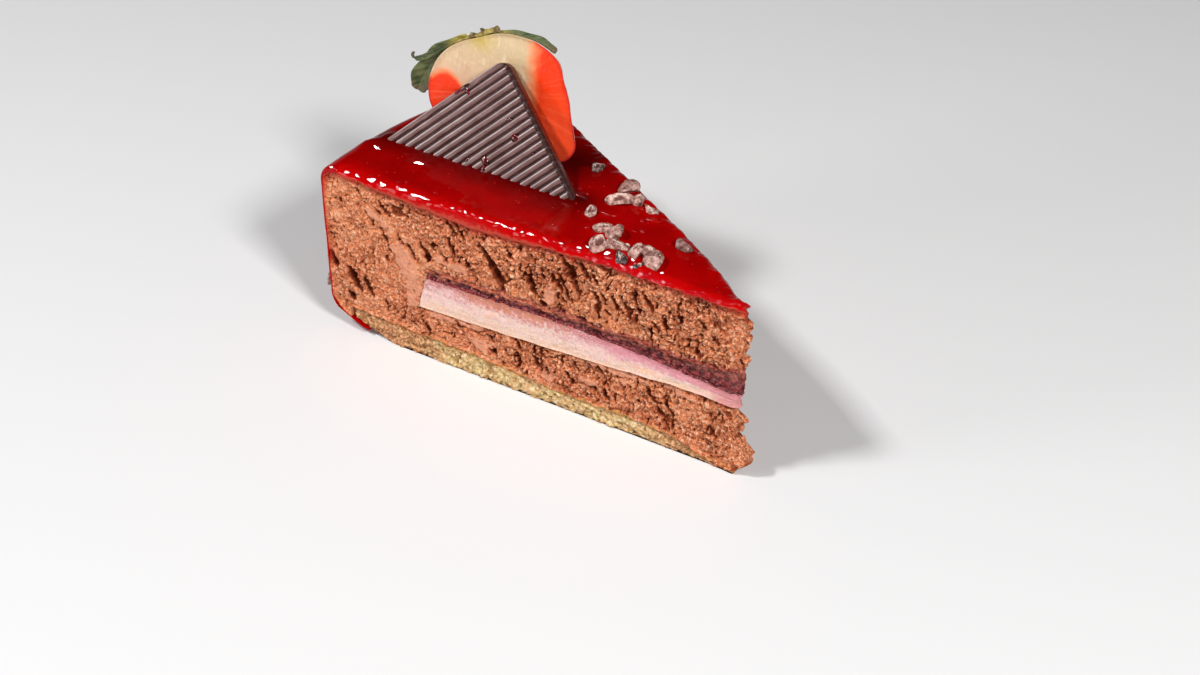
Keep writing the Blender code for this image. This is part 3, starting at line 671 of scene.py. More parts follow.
# %% Slits, pits and smears of the mousse
NEAR_SLITS = (  # distance from the apex, height, half width, half height, depth
    (71.2, 31.5, 1.5, 4.4, 4.2), (61.7, 32.2, 1.1, 2.7, 3.4), (91.0, 30.1, 0.9, 2.4, 3.0),
    (95.4, 29.2, 0.8, 2.3, 2.4), (83.4, 34.6, 0.8, 2.5, 2.8), (85.3, 31.0, 0.8, 1.2, 2.4),
    (53.0, 35.4, 0.8, 3.0, 2.4), (53.0, 27.0, 0.9, 1.8, 2.6), (58.3, 28.0, 1.2, 1.1, 2.6),
    (119.0, 19.6, 1.1, 3.0, 3.0), (112.8, 15.4, 1.3, 3.4, 3.8), (108.5, 14.2, 0.9, 2.4, 2.8),
    (114.3, 9.8, 1.3, 1.4, 2.2), (103.0, 38.9, 0.8, 1.8, 1.8), (109.7, 40.9, 0.7, 1.1, 1.6),
    (104.2, 37.5, 0.5, 1.0, 1.4), (106.2, 33.9, 0.6, 0.8, 1.5), (102.6, 31.2, 0.9, 1.9, 1.5),
    (101.6, 28.2, 0.7, 0.9, 1.6), (102.4, 24.6, 0.7, 0.9, 1.7), (88.9, 32.8, 0.6, 1.2, 1.6),
    (78.4, 30.7, 0.8, 1.9, 1.8), (67.3, 38.0, 0.8, 1.2, 1.6), (66.0, 10.2, 1.1, 1.4, 2.4),
    (72.6, 8.7, 1.2, 0.9, 2.2), (43.7, 31.1, 0.7, 2.2, 2.0), (38.9, 34.2, 0.7, 1.7, 1.9),
    (35.0, 34.2, 0.8, 1.0, 2.0), (33.0, 34.9, 0.7, 0.9, 1.7), (28.9, 32.2, 0.8, 1.0, 1.8),
    (16.9, 37.3, 0.8, 1.0, 1.6), (13.9, 34.3, 1.0, 1.0, 1.8), (27.4, 9.0, 0.8, 1.5, 2.2),
    (24.9, 11.2, 0.6, 2.2, 1.6), (13.0, 8.3, 0.9, 0.8, 1.6), (9.4, 15.8, 1.2, 0.6, 1.4),
    (50.8, 8.4, 0.7, 1.0, 1.6), (43.3, 14.9, 0.7, 1.3, 1.5), (47.8, 27.3, 1.2, 1.0, 1.8),
    (18.5, 29.2, 0.8, 1.2, 1.6), (22.6, 36.5, 1.1, 0.6, 1.5), (98.8, 39.3, 1.8, 1.8, 0.9),
)
NEAR_SMEARS = (  # distance from the apex, height, half length, half height, tilt
    (97.0, 25.5, 4.2, 5.0, 0.5), (95.0, 18.0, 2.6, 4.5, 0.0), (103.8, 35.3, 4.0, 1.2, 0.5),
    (84.5, 13.7, 10.5, 0.9, -0.1), (80.6, 28.9, 3.0, 1.8, 0.0), (76.0, 9.4, 4.4, 2.2, 0.3),
    (56.8, 31.3, 1.7, 2.6, 0.0), (24.5, 17.2, 6.5, 0.9, 0.1), (47.0, 10.6, 3.4, 0.9, 0.0),
    (58.0, 8.0, 3.0, 1.5, 0.2), (84.0, 29.6, 5.0, 1.0, 0.1), (36.0, 14.0, 3.0, 1.2, 0.0),
    (38.0, 16.4, 9.0, 1.1, -0.03),
)
SLIT_LEAN = 0.45


def stray_slits(seed, count, low_radius):
    """More slits like the ones in the table, for what lies between them and the far face."""
    draw = random.Random(seed)
    slits = []
    for _ in range(count):
        radius = draw.triangular(low_radius, 118.0, 50.0)
        height = draw.uniform(29.0, 42.0) if draw.random() < 0.7 else draw.uniform(7.5, 15.0)
        narrow = 0.6 if radius > 92.0 else 1.0
        half_width, half_height = draw.uniform(0.4, 1.0), draw.uniform(0.7, 2.6)
        slits.append(
            (radius, height, narrow * half_width, narrow * half_height, draw.uniform(0.8, 2.4))
        )
    return tuple(slits)


NEAR_STRAYS = stray_slits(8, 46, 10.0)
FAR_SLITS = stray_slits(23, 70, 12.0)
FAR_SMEARS = tuple(
    (r, 14.0 + (r * 7.3) % 24.0, 4.0, 1.5, 0.2) for r in (30.0, 47.0, 66.0, 88.0, 104.0)
)


def hollow_depth(radius, height, slits, seed):
    """Depth of the slits: steep ragged rims and uneven floors."""
    wobble_r = (
        0.7 * bumps(1.7, seed, radius, height) + 0.45 * bumps(0.7, seed + 3.0, radius, height)
    )
    wobble_h = (
        0.9 * bumps(1.7, seed + 9.0, radius, height)
        + 0.45 * bumps(0.7, seed + 6.0, radius, height)
    )
    depth = np.zeros_like(radius)
    for r0, z0, half_width, half_height, deep in slits:
        lean = SLIT_LEAN * (height - z0)
        off = (
            ((radius + wobble_r - r0 - lean) / half_width) ** 2
            + ((height + wobble_h - z0) / half_height) ** 2
        )
        depth = np.maximum(depth, deep * (1.0 - smooth_step(0.25, 1.25, off)))
    return depth


def smear_share(radius, height, smears, seed):
    wobble = 1.0 * bumps(2.4, seed, radius, height) + 0.9 * bumps(0.9, seed + 4.0, radius, height)
    share = np.zeros_like(radius)
    for r0, z0, half_length, half_height, tilt in smears:
        off = (
            ((radius - r0) / half_length) ** 2
            + ((height - z0 - tilt * (radius - r0)) / half_height) ** 2
        )
        share = np.maximum(share, 1.0 - smooth_step(0.35, 1.20, off + wobble))
    return share


def crag_base(radius, height, seed):
    """The broad lumps of the torn face, the same as those of the solid."""
    coarse = 1.0 + 0.8 * smooth_step(60.0, 15.0, radius)
    depth = 0.30 + 0.60 * coarse * bumps(4.2, seed, radius, height)
    lumps = 0.42 * bumps(1.9, seed + 8.0, radius, height) * smooth_step(112.0, 80.0, radius)
    return depth + lumps + 0.35 * bumps(13.0, seed + 5.0, radius, height)


# %% Build the mousse
EDGE_WIDTHS = (0.9, 2.6)
ACROSS_CELLS = 9
UNDER_ROWS, SLOT_ROWS, OVER_ROWS = 46, 34, 80
INNER_CELLS, OUTER_CELLS = 390, 100
TOP_START = CAKE_RADIUS - TOP_CORNER


def face_fields(radius, height, cut, count, low, high):
    """What the crumb tree reads: place on the cut, way inwards, and how far it may go."""
    near, far = cut == 0, cut == count
    inward = near[:, None] * NEAR_INWARD + far[:, None] * FAR_INWARD
    edge = smooth_step(-0.1, 0.5, high - height) * smooth_step(-0.1, 0.4, height - low)
    return {
        "cut": np.stack([radius, height, np.where(far, 57.0, 3.0)], axis=1),
        "inward": inward * edge[:, None],
        "limit": 0.3 * slice_width(radius),
    }


def mousse_levels(radius, across):
    """Four levels: on the sponge, under the cream, over the jelly, under the glaze."""
    share = np.maximum(0.0, (radius - TOP_START) / (MOUSSE_RADIUS - TOP_START))
    low = np.where(
        radius <= MOUSSE_STEP_RADIUS, sponge_top(radius, across) - LAP,
        foot_height(radius) + 1.0 + 2.4 * share ** 2,
    )
    bend = np.sqrt(np.maximum(0.0, 1.0 - share ** 2))
    shoulder = TOP - TOP_CORNER + (TOP_CORNER - GLAZE_TOP_THICK) * bend
    high = np.where(radius > TOP_START, shoulder, glaze_underside(radius, across)) + LAP
    return low, cream_base(radius) + LAP, jelly_top(radius, across) - LAP, high


def build_mousse(name, radii, first_row, last_row):
    places, faces = cell_skin(np.ones((len(radii) - 1, ACROSS_CELLS, last_row - first_row), bool))
    i, j, k = places.T
    k = k + first_row
    radius = radii[i]
    across = across_share(radius, j, ACROSS_CELLS, EDGE_WIDTHS)
    low, slot_low, slot_high, high = mousse_levels(radius, across)
    above = UNDER_ROWS + SLOT_ROWS
    height = np.select([k <= UNDER_ROWS, k <= above], [
        low + (slot_low - low) * k / UNDER_ROWS,
        slot_low + (slot_high - slot_low) * (k - UNDER_ROWS) / SLOT_ROWS,
    ], slot_high + (high - slot_high) * (k - above) / OVER_ROWS)
    near_tip = smooth_step(20.0, GLAZE_TIP_RADIUS, radius)
    crumbly = 0.9 * bumps(2.9, 41.0, height, across) + 0.9 * bumps(1.2, 42.0, height, across * 3.0)
    moved = lean_end(radius, height)
    moved = moved + (eased(MOUSSE_TIP, height) - GLAZE_TIP_RADIUS + crumbly) * near_tip
    moved = moved + np.where(radius == MOUSSE_RADIUS, wall_lumps(across, height), 0.0)
    points = in_slice(moved, across, height)

    far = j == ACROSS_CELLS
    fields = face_fields(moved, height, j, ACROSS_CELLS, low, high)
    near_wall = smooth_step(MOUSSE_RADIUS, MOUSSE_RADIUS - 0.9, radius)
    fields["inward"] = fields["inward"] * near_wall[:, None]
    base = np.where(far, crag_base(moved, height, 2.0), crag_base(moved, height, 1.0))
    fields["base"] = np.maximum(0.02, base)
    near_hollow = hollow_depth(moved, height, NEAR_SLITS + NEAR_STRAYS, 81.0)
    fields["hollow"] = np.where(far, hollow_depth(moved, height, FAR_SLITS, 83.0), near_hollow)
    near_smear = smear_share(moved, height, NEAR_SMEARS, 85.0)
    fields["smear"] = np.where(far, smear_share(moved, height, FAR_SMEARS, 86.0), near_smear)
    fields["rough"] = (
        0.80 + 0.35 * smooth_step(98.0, 45.0, moved) + 0.50 * bumps(6.0, 95.0, moved, height)
    )
    soaked = np.exp(-(MOUSSE_RADIUS - radius) / 0.5) * smooth_step(44.0, 40.0, height)
    fields["stain"] = 1.2 * np.exp(-(high - height) / 1.7) + soaked
    over_insert = (radius <= INSERT_RADIUS + 0.6) & (height > slot_high - 0.5)
    fields["juice"] = over_insert * np.exp(-np.maximum(0.0, height - slot_high) / 1.1)
    return add_piece(name, points, faces, fields, crisp=True)


OUTER_RADII = np.concatenate([
    np.linspace(MOUSSE_RADIUS, 114.3, 24),
    np.linspace(MOUSSE_STEP_RADIUS, INSERT_RADIUS, OUTER_CELLS - 23),
])
INNER_RADII = np.linspace(INSERT_RADIUS, GLAZE_TIP_RADIUS, INNER_CELLS + 1)
ALL_ROWS = UNDER_ROWS + SLOT_ROWS + OVER_ROWS
mousse_blocks = [
    build_mousse("mousse_outer", OUTER_RADII, 0, ALL_ROWS),
    build_mousse("mousse_under", INNER_RADII, 0, UNDER_ROWS),
    build_mousse("mousse_over", INNER_RADII, UNDER_ROWS + SLOT_ROWS, ALL_ROWS),
]
for block in mousse_blocks:
    tear(block, (0.95, 0.45, 2.8, 0.8, 0.95, 0.7), MOUSSE)
    finish(block, "mousse")

# %% [markdown]
# ## Sponge base
#
# The base is a thin sheet of yellow sponge, open and springy, with a brown skin where it
# touched the tray. It uses the same mesher and the same tree, with smaller grains.

# %% Sponge
def layer(name, radii, counts, low, high, base, rough, ragged_foot=0.0):
    """A layer that runs through the slice between two surfaces."""
    places, faces = cell_skin(np.ones(counts, bool))
    i, j, k = places.T
    radius = radii[i]
    across = across_share(radius, j, counts[1], (0.6, 1.6))
    low_z, high_z = low(radius, across), high(radius, across)
    height = low_z + (high_z - low_z) * k / counts[2]
    torn_tip = (
        0.9 * bumps(1.8, 43.0, height, across * 3.0) + 0.6 * bumps(0.8, 44.0, height, across * 3.0)
    )
    radius = lean_end(radius, height) + torn_tip * smooth_step(16.0, radii[-1], radius)
    fields = face_fields(radius, height, j, counts[1], low_z - ragged_foot, high_z)
    fields["limit"] = 0.25 * slice_width(radius)
    fields["base"] = np.maximum(0.0, base(radius, height))
    fields["rough"] = np.full_like(radius, rough)
    fields["rise"] = (height - low_z) / np.maximum(high_z - low_z, 0.1)
    return add_piece(name, in_slice(radius, across, height), faces, fields, crisp=True)


def sponge_finish(name):
    material, place = new_finish(name, Specular_IOR_Level=0.2)
    patch = noise_at(place, 4.5, 3.0)
    grain = noise_at(place, 0.8, 3.0)
    rise = noise_at(place, 2.0, 3.0) * 0.5 + field("rise")
    away = patch * 14.0 + (field("cut", 1).x - 7.0)
    ends = calc("MAXIMUM", fade(away, 36.0, 20.0), fade(away, 86.0, 95.0))
    toasted = blend(fade(grain, 0.42, 0.60), (0.26, 0.075, 0.028), (0.68, 0.29, 0.135))
    # Painted light and shade: grain tops lighter, low grain darker, deep tears darker.
    colour = coats(
        blend(fade(patch, 0.35, 0.65), (0.66, 0.50, 0.22), (0.66, 0.415, 0.20)),
        (fade(grain, 0.51, 0.64, 0.0, 0.60), (0.94, 0.80, 0.56)),
        (fade(grain, 0.46, 0.36, 0.0, 0.55), (0.36, 0.19, 0.055)),
        (fade(rise, 0.95, 1.25, 0.0, 0.75), (0.50, 0.17, 0.035)),
        (fade(rise, 0.42, 0.22, 0.0, 0.6), (0.34, 0.15, 0.06)),
        (fade(field("depth"), 0.25, 0.8, 0.0, 0.6), (0.34, 0.16, 0.04)),
        (ends * 0.70, toasted),
    )
    height = noise_at(place, 0.35, 3.0) + cells_at(place, 0.5)
    return shade(material, colour, 0.8, height, 0.16, 0.9)


SPONGE = sponge_finish("yellow_sponge")
sponge = layer(
    "sponge_sheet", np.linspace(SPONGE_RADIUS, SPONGE_TIP_RADIUS, 261), (260, 9, 16),
    lambda radius, across: foot_height(radius) + 1.3 * smooth_step(101.0, 108.0, radius),
    sponge_top, lambda *spot: 0.3 + 0.55 * bumps(3.0, 6.0, *spot) + 0.3 * bumps(1.3, 16.0, *spot),
    1.0, ragged_foot=1.0,
)
tear(sponge, (0.85, 0.40, 2.2, 0.45, 1.0, 0.60), SPONGE)
finish(sponge, "sponge_base")

# %% [markdown]
# ## Insert: cream and berry jelly
#
# The insert is a frozen disc that the mousse was poured round: set cream, which the jelly on
# it has tinted pink from above. The colour runs with the height in the layer, so it comes
# from a field on the mesh, broken up by noise that is stretched along the cut.

# %% Cream and jelly
def cream_finish(name):
    material, place = new_finish(
        name, Specular_IOR_Level=0.35, Subsurface_Weight=0.15, Subsurface_Scale=0.8 * MM
    )
    rise = field("rise")
    cut = field("cut", 1)
    streak = noise_at(cut * (0.22, 1.0, 1.0), 1.5, 3.0)
    fine = noise_at(cut, 1.0, 3.0)
    tint = (fine - 0.5) * 0.9 + (streak + (rise - 0.68) + 0.18)
    peach = fade(noise_at(cut * (0.16, 0.9, 1.0), 1.1), 0.56, 0.70, 0.0, 0.55)
    grain = noise_at(place, 0.35, 3.0)
    away = noise_at(cut, 3.5, 3.0) * 18.0 + (cut.x - 9.0)
    stain = fade(away, 48.0, 58.0) * fade(away, 84.0, 74.0)
    stain = stain * fade(fine * 1.2 + rise, 1.15, 1.45, 0.0, 0.8)
    colour = coats(
        ramp(tint, [
            (0.10, (0.72, 0.46, 0.33)), (0.34, (0.76, 0.52, 0.44)), (0.55, (0.72, 0.47, 0.44)),
            (0.78, (0.66, 0.31, 0.30)), (1.0, (0.50, 0.14, 0.13)),
        ]),
        (peach * fade(rise, 0.75, 0.35), (0.85, 0.45, 0.24)),
        (fade(grain, 0.50, 0.62, 0.0, 0.55), (0.86, 0.70, 0.65)),
        (fade(away, 54.0, 34.0, 0.0, 0.65) * fade(tint, 0.25, 0.75), (0.68, 0.24, 0.31)),
        (stain, (0.58, 0.20, 0.115)),
        (fade(away, 19.0, 9.0, 0.0, 0.8), (0.60, 0.21, 0.22)),
    )
    return shade(material, colour, 0.55, grain + streak, 0.26, 1.0)


def jelly_finish(name):
    material, place = new_finish(name, Specular_IOR_Level=0.32)
    lump = noise_at(place, 0.9, 3.0)
    rise = noise_at(place, 2.4, 3.0) * 1.6 + (field("rise") - 0.8)
    top = fade(rise, 0.42, 0.70) * fade(field("cut", 1).x, 30.0, 60.0, 0.35, 0.9)
    brown = blend(fade(lump, 0.4, 0.6), (0.30, 0.070, 0.040), (0.62, 0.20, 0.115))
    colour = coats(
        blend(fade(lump, 0.42, 0.62), (0.062, 0.0040, 0.006), (0.22, 0.021, 0.025)),
        (fade(noise_at(place, 0.5), 0.57, 0.66, 0.0, 0.70), (0.48, 0.115, 0.110)),
        (top, brown),
    )
    rough = fade(lump, 0.4, 0.6, 0.18, 0.45)
    return shade(material, colour, rough, noise_at(place, 0.45, 3.0), 0.22, 0.9)


CREAM = cream_finish("berry_tinted_cream")
JELLY = jelly_finish("dark_berry_jelly")
cream = layer(
    "cream_layer", np.linspace(INSERT_RADIUS, CREAM_TIP_RADIUS, 216), (215, 7, 20),
    lambda radius, across: cream_base(radius), lambda radius, across: cream_top(radius),
    lambda *spot: 0.12 + 0.20 * bumps(3.0, 9.0, *spot), 0.30,
)
tear(cream, (0.9, 0.3, 3.2, 0.4, 2.6, 0.9), CREAM)
finish(cream, "cream_insert")

jelly = layer(
    "jelly_layer", np.linspace(INSERT_RADIUS, JELLY_TIP_RADIUS, 216), (215, 9, 14),
    lambda radius, across: cream_top(radius) - LAP, jelly_top,
    lambda *spot: 0.25 + 0.65 * bumps(1.7, 10.0, *spot), 1.0,
)
tear(jelly, (1.1, 0.55, 2.0, 0.6, 1.2, 0.6), JELLY)
finish(jelly, "berry_jelly")

# %% [markdown]
# ## Glaze
#
# The glaze is a clear red gel poured over the frozen cake. The knife dragged it over the edge
# of the cut, where it is rounded and uneven, and it has crept up whatever stands in it. Its
# surface is a height for each place: level, with a slow swell, ripples along the edge, a few
# single bumps, and a small rise round the chocolate and every nib.

# %% Toppings that stand in the glaze
PLAQUE_LEFT = np.array((112.9, -14.2))
PLAQUE_LONG_SIDE, PLAQUE_THICK = 53.6, 3.0
PLAQUE_TURN, PLAQUE_LEAN = math.radians(14.7), math.radians(64.0)
BERRY_FOOT = np.array((74.9, 8.4))
BERRY_TURN, BERRY_LEAN = math.radians(14.7), math.radians(7.0)
BERRY_DEPTH, BERRY_LIFT = 10.5, 0.65
CAP_START = math.radians(35.0)  # the cut lies past the middle, so the skin slopes in from it
BERRY_CENTRE = (-17.5, 13.0)
NIBS = (  # distance from the apex, place across, length, width, height, turn, darkness
    (68.8, 14.0, 3.6, 2.4, 2.4, 110, 0.8), (56.9, 12.2, 5.0, 3.9, 3.6, 70, 0.1),
    (54.0, 7.6, 6.6, 3.0, 3.0, 35, 0.0), (51.6, 10.8, 3.4, 3.0, 3.0, 100, 0.1),
    (47.2, 10.0, 4.8, 2.4, 1.8, 160, 0.3), (55.8, -0.4, 3.1, 2.4, 2.2, 120, 0.3),
    (48.6, -2.6, 4.8, 2.6, 2.4, 50, 0.1), (45.2, -2.7, 4.8, 3.8, 3.2, 150, 0.1),
    (43.9, -8.5, 4.6, 3.8, 3.8, 80, 0.0), (41.4, -5.9, 4.6, 3.3, 2.8, 10, 0.1),
    (37.7, -8.3, 4.8, 2.6, 2.4, 140, 1.0), (36.6, -4.5, 4.4, 3.6, 3.2, 45, 0.0),
    (34.4, -2.6, 4.2, 3.4, 3.0, 20, 0.1), (31.2, -4.6, 5.3, 3.9, 3.4, 130, 0.1),
    (31.4, 5.0, 5.0, 3.1, 2.4, 165, 0.5), (32.9, -7.4, 2.4, 1.4, 1.2, 60, 1.0),
    (40.2, -4.6, 2.2, 1.8, 1.6, 20, 0.2),
)
GLAZE_BUMPS = (  # distance from the apex, place across, half length, half width, height, turn
    (110.8, -18.5, 1.7, 1.1, 0.50, 0.1), (98.6, -15.9, 3.0, 1.0, 0.55, 0.5),
    (115.2, -17.4, 2.6, 1.3, 0.75, 0.9), (105.0, -24.0, 6.0, 3.0, 0.18, 0.2),
    (85.0, -16.0, 7.0, 3.5, 0.15, 0.2), (63.2, 3.6, 2.2, 0.4, 0.20, 0.3),
    (53.6, 1.4, 1.8, 0.35, 0.22, 0.3), (44.6, 7.2, 2.4, 0.35, 0.22, 0.1),
    (44.9, 5.6, 0.6, 0.5, 0.30, 0.0), (42.3, 2.5, 0.7, 0.4, 0.30, 0.0),
    (51.7, -5.1, 0.6, 0.4, 0.30, 0.0), (65.3, 5.1, 0.5, 0.4, 0.30, 0.0),
    (49.5, 8.9, 0.6, 0.5, 0.35, 0.0), (26.0, 1.0, 5.0, 2.5, 0.15, 0.0),
)


def foot_line(start, turn, setback, length):
    """The line on which a topping stands, seen from above."""
    along = np.array((math.cos(turn), math.sin(turn)))
    start = start + setback * np.array((-along[1], along[0]))
    return start, start + along * length


PLAQUE_FOOT = foot_line(
    np.array((APEX_X - PLAQUE_LEFT[0], PLAQUE_LEFT[1])), PLAQUE_TURN, 1.6, PLAQUE_LONG_SIDE
)
BERRY_FOOT_LINE = foot_line(
    np.array((APEX_X - BERRY_FOOT[0], BERRY_FOOT[1])), BERRY_TURN, 3.0, -30.0
)


def segment_distance(spot, start, end):
    way = end - start
    t = np.clip(((spot - start) @ way) / (way @ way), 0.0, 1.0)
    return np.linalg.norm(spot - start - t[:, None] * way, axis=1)


def glaze_relief(x, y):
    """Ripples, single bumps and the rise round each topping, at a place seen from above."""
    spot = np.stack([x, y], axis=1)
    relief = 0.12 * bumps(17.0, 3.0, x, y) + 0.10 * bumps(6.0, 61.0, x, y)
    for away, side, half_length, half_width, rise, turn in GLAZE_BUMPS:
        dx, dy = x - (APEX_X - away), y - side
        along = dx * math.cos(turn) + dy * math.sin(turn)
        over = dy * math.cos(turn) - dx * math.sin(turn)
        relief += rise * np.exp(-((along / half_length) ** 2) - (over / half_width) ** 2)
    foot = segment_distance(spot, *PLAQUE_FOOT)
    relief += 0.55 * np.exp(-np.maximum(0.0, foot - 1.4) / 0.55)
    for away, side, length, width, _, _, _ in NIBS:
        gap = np.hypot(x - (APEX_X - away), y - side) - 0.42 * (length + width) / 2
        relief += 0.30 * np.exp(-np.maximum(0.0, gap) / 0.40)
    return relief


# %% Build the glaze
GLAZE_EDGE_WIDTHS = (0.1, 0.22, 0.38, 0.58, 0.82, 1.1, 1.45, 1.9, 2.5, 3.3, 4.3)
GLAZE_EDGE_ROUND = 2.2
GLAZE_LAYERS = 7


def glaze_surface(radius, across):
    width = slice_width(radius)
    edge = np.minimum(across, 1.0 - across) * width
    rounding = np.minimum(GLAZE_EDGE_ROUND, 0.45 * width)
    short = np.maximum(0.0, 1.0 - edge / rounding)
    drop = 0.55 * rounding * (1.0 - np.sqrt(1.0 - 0.96 * short * short))
    spots = in_slice(radius, across, 0.0)
    ripple = (
        0.50 * bumps(2.9, 62.0, radius, across * width * 0.6)
        + 0.34 * bumps(1.3, 63.0, radius, across * width)
    )
    near_edge = np.exp(-((edge - 1.2) / 1.6) ** 2)
    relief = glaze_relief(spots[:, 0], spots[:, 1]) * smooth_step(0.0, 1.2, edge)
    return TOP - drop + relief + ripple * near_edge


def glaze_stations():
    """The glaze's outer line: foot, wall, corner and top, as radius, height and thickness."""
    foot = np.linspace(109.5, 118.2, 12)
    line = [(r, float(foot_height(r)), GLAZE_WALL_THICK) for r in foot]
    line += [(118.9, 5.35, 0.8), (119.5, 6.1, 0.8), (119.9, 6.9, 0.8), (120.3, 8.0, 0.8)]
    wall_high = TOP - TOP_CORNER
    line += [(CAKE_RADIUS, z, GLAZE_WALL_THICK) for z in np.linspace(9.2, wall_high, 44)]
    for turn in np.linspace(0.0, math.pi / 2.0, 13)[1:]:
        thick = GLAZE_WALL_THICK + (GLAZE_TOP_THICK - GLAZE_WALL_THICK) * math.sin(turn) ** 2
        line.append((
            TOP_START + TOP_CORNER * math.cos(turn),
            wall_high + TOP_CORNER * math.sin(turn), thick,
        ))
    line += [(r, math.nan, 0.0) for r in np.linspace(TOP_START - 0.4, GLAZE_TIP_RADIUS, 230)]
    return np.array(line)


def build_glaze():
    stations = glaze_stations()
    counts = (len(stations) - 1, 58, GLAZE_LAYERS)
    places, faces = cell_skin(np.ones(counts, bool))
    i, j, k = places.T
    radius, height, thick = stations[i].T
    on_top = np.isnan(height)
    across = across_share(radius, j, counts[1], GLAZE_EDGE_WIDTHS)
    rise = k / GLAZE_LAYERS

    before, after = stations[np.maximum(i - 1, 0)], stations[np.minimum(i + 1, counts[0])]
    run = np.stack([
        after[:, 0] - before[:, 0],
        np.nan_to_num(after[:, 1], nan=TOP) - np.nan_to_num(before[:, 1], nan=TOP),
    ])
    run = run / np.maximum(np.hypot(*run), 1e-9)
    edge = np.minimum(across, 1.0 - across) * slice_width(radius)
    rounding = 0.45 * np.maximum(0.0, 1.0 - edge / 0.8) ** 2
    outer_inset = np.where(on_top, 0.0, rounding)
    depth = thick * (1.0 - rise) + outer_inset * rise
    level = np.nan_to_num(height, nan=TOP)
    drip = (
        0.10 * bumps(3.0, 64.0, across * 60.0, level * 0.5) * smooth_step(44.0, 38.0, level) * rise
    )
    lumps = wall_lumps(across, level) * smooth_step(4.0, 12.0, level)
    wall_radius = radius + np.minimum(lumps, 0.0) + drip - 0.1 - run[1] * depth
    wall_height = level + run[0] * depth
    corner = glaze_relief(*in_slice(radius, across, 0.0)[:, :2].T)
    corner = corner * smooth_step(41.0, TOP, level) * rise
    top_high = glaze_surface(radius, across)
    top_low = glaze_underside(radius, across)
    top_height = top_low + (top_high - top_low) * rise

    final_radius = np.where(on_top, radius, wall_radius)
    final_height = np.where(on_top, top_height, wall_height + corner)
    tip = smooth_step(12.0, GLAZE_TIP_RADIUS, radius)
    final_radius = (
        final_radius
        + tip * (1.1 + 0.5 * bumps(1.6, 66.0, across * 4.0, rise) - 0.5 * np.sin(math.pi * rise))
    )
    points = in_slice(final_radius, across, final_height)
    belly = 0.42 * np.sin(math.pi * np.clip(0.15 + 0.85 * rise, 0.0, 1.0))
    belly = belly * smooth_step(118.0, 108.0, radius)
    belly = belly * (1.0 + 0.5 * bumps(2.0, 65.0, radius))
    points -= ((j == 0) * belly)[:, None] * NEAR_INWARD
    points -= ((j == counts[1]) * belly)[:, None] * FAR_INWARD
    spots = points[:, :2]
    plaque_gap = segment_distance(spots, *PLAQUE_FOOT)
    berry_gap = segment_distance(spots, *BERRY_FOOT_LINE)
    # Painted shade and reflection: the glaze darkens towards the chocolate's and the berry's foot.
    pool = np.maximum(
        np.exp(-((plaque_gap / 6.0) ** 1.5)), 0.9 * np.exp(-((berry_gap / 11.0) ** 2))
    )
    near_edge = np.exp(-((across * slice_width(radius) / 2.2) ** 2)) * on_top
    cut_face = ((j == 0) | (j == counts[1])) * (1.0 - rise) * on_top
    return add_piece(
        "mirror_glaze", points, faces, {"pool": pool, "rim": near_edge, "cut_face": cut_face}
    )


def glaze_finish(name):
    material, place = new_finish(name, IOR=1.42, Specular_IOR_Level=0.17)
    patch = noise_at(place, 9.0, 3.0)
    dull = noise_at(place, 0.9, 3.0) * 1.1 + (field("cut_face") - 0.55)
    dull = fade(dull, 0.35, 0.80)
    # The second coat is painted shade near the chocolate and the berry.
    colour = coats(
        blend(fade(patch, 0.35, 0.68), (0.36, 0.0004, 0.0006), (0.27, 0.0003, 0.0004)),
        (field("pool"), (0.050, 0.0003, 0.0004)),
        (field("rim") * 0.6, (0.48, 0.0012, 0.0016)),
        (fade(cells_at(place, 2.4), 0.05, 0.09, 0.5, 0.0), (0.85, 0.05, 0.02)),
        (dull * 0.85, (0.48, 0.060, 0.030)),
    )
    rough = dull * 0.5 + fade(noise_at(place, 3.0), 0.4, 0.7, 0.03, 0.07)
    return shade(material, colour, rough, noise_at(place, 1.4, 1.0), 0.02, 0.5)


finish(build_glaze(), "glaze", glaze_finish("red_mirror_glaze"))

# %% [markdown]
# ## Chocolate triangle
#
# The decoration is half of a thin square of dark chocolate that was set on a ribbed sheet.
# The ribs follow a rule, so Geometry Nodes make them: a flat box with many rows of points,
# whose top is lowered by a repeating profile. Two straight cuts then leave the triangle.

# %% The ribbed sheet
RIB_PITCH, RIB_HEIGHT, RIB_BORDER, PLAQUE_RIM, PLAQUE_CORNER = 1.93, 0.50, 1.35, 0.8, 1.6


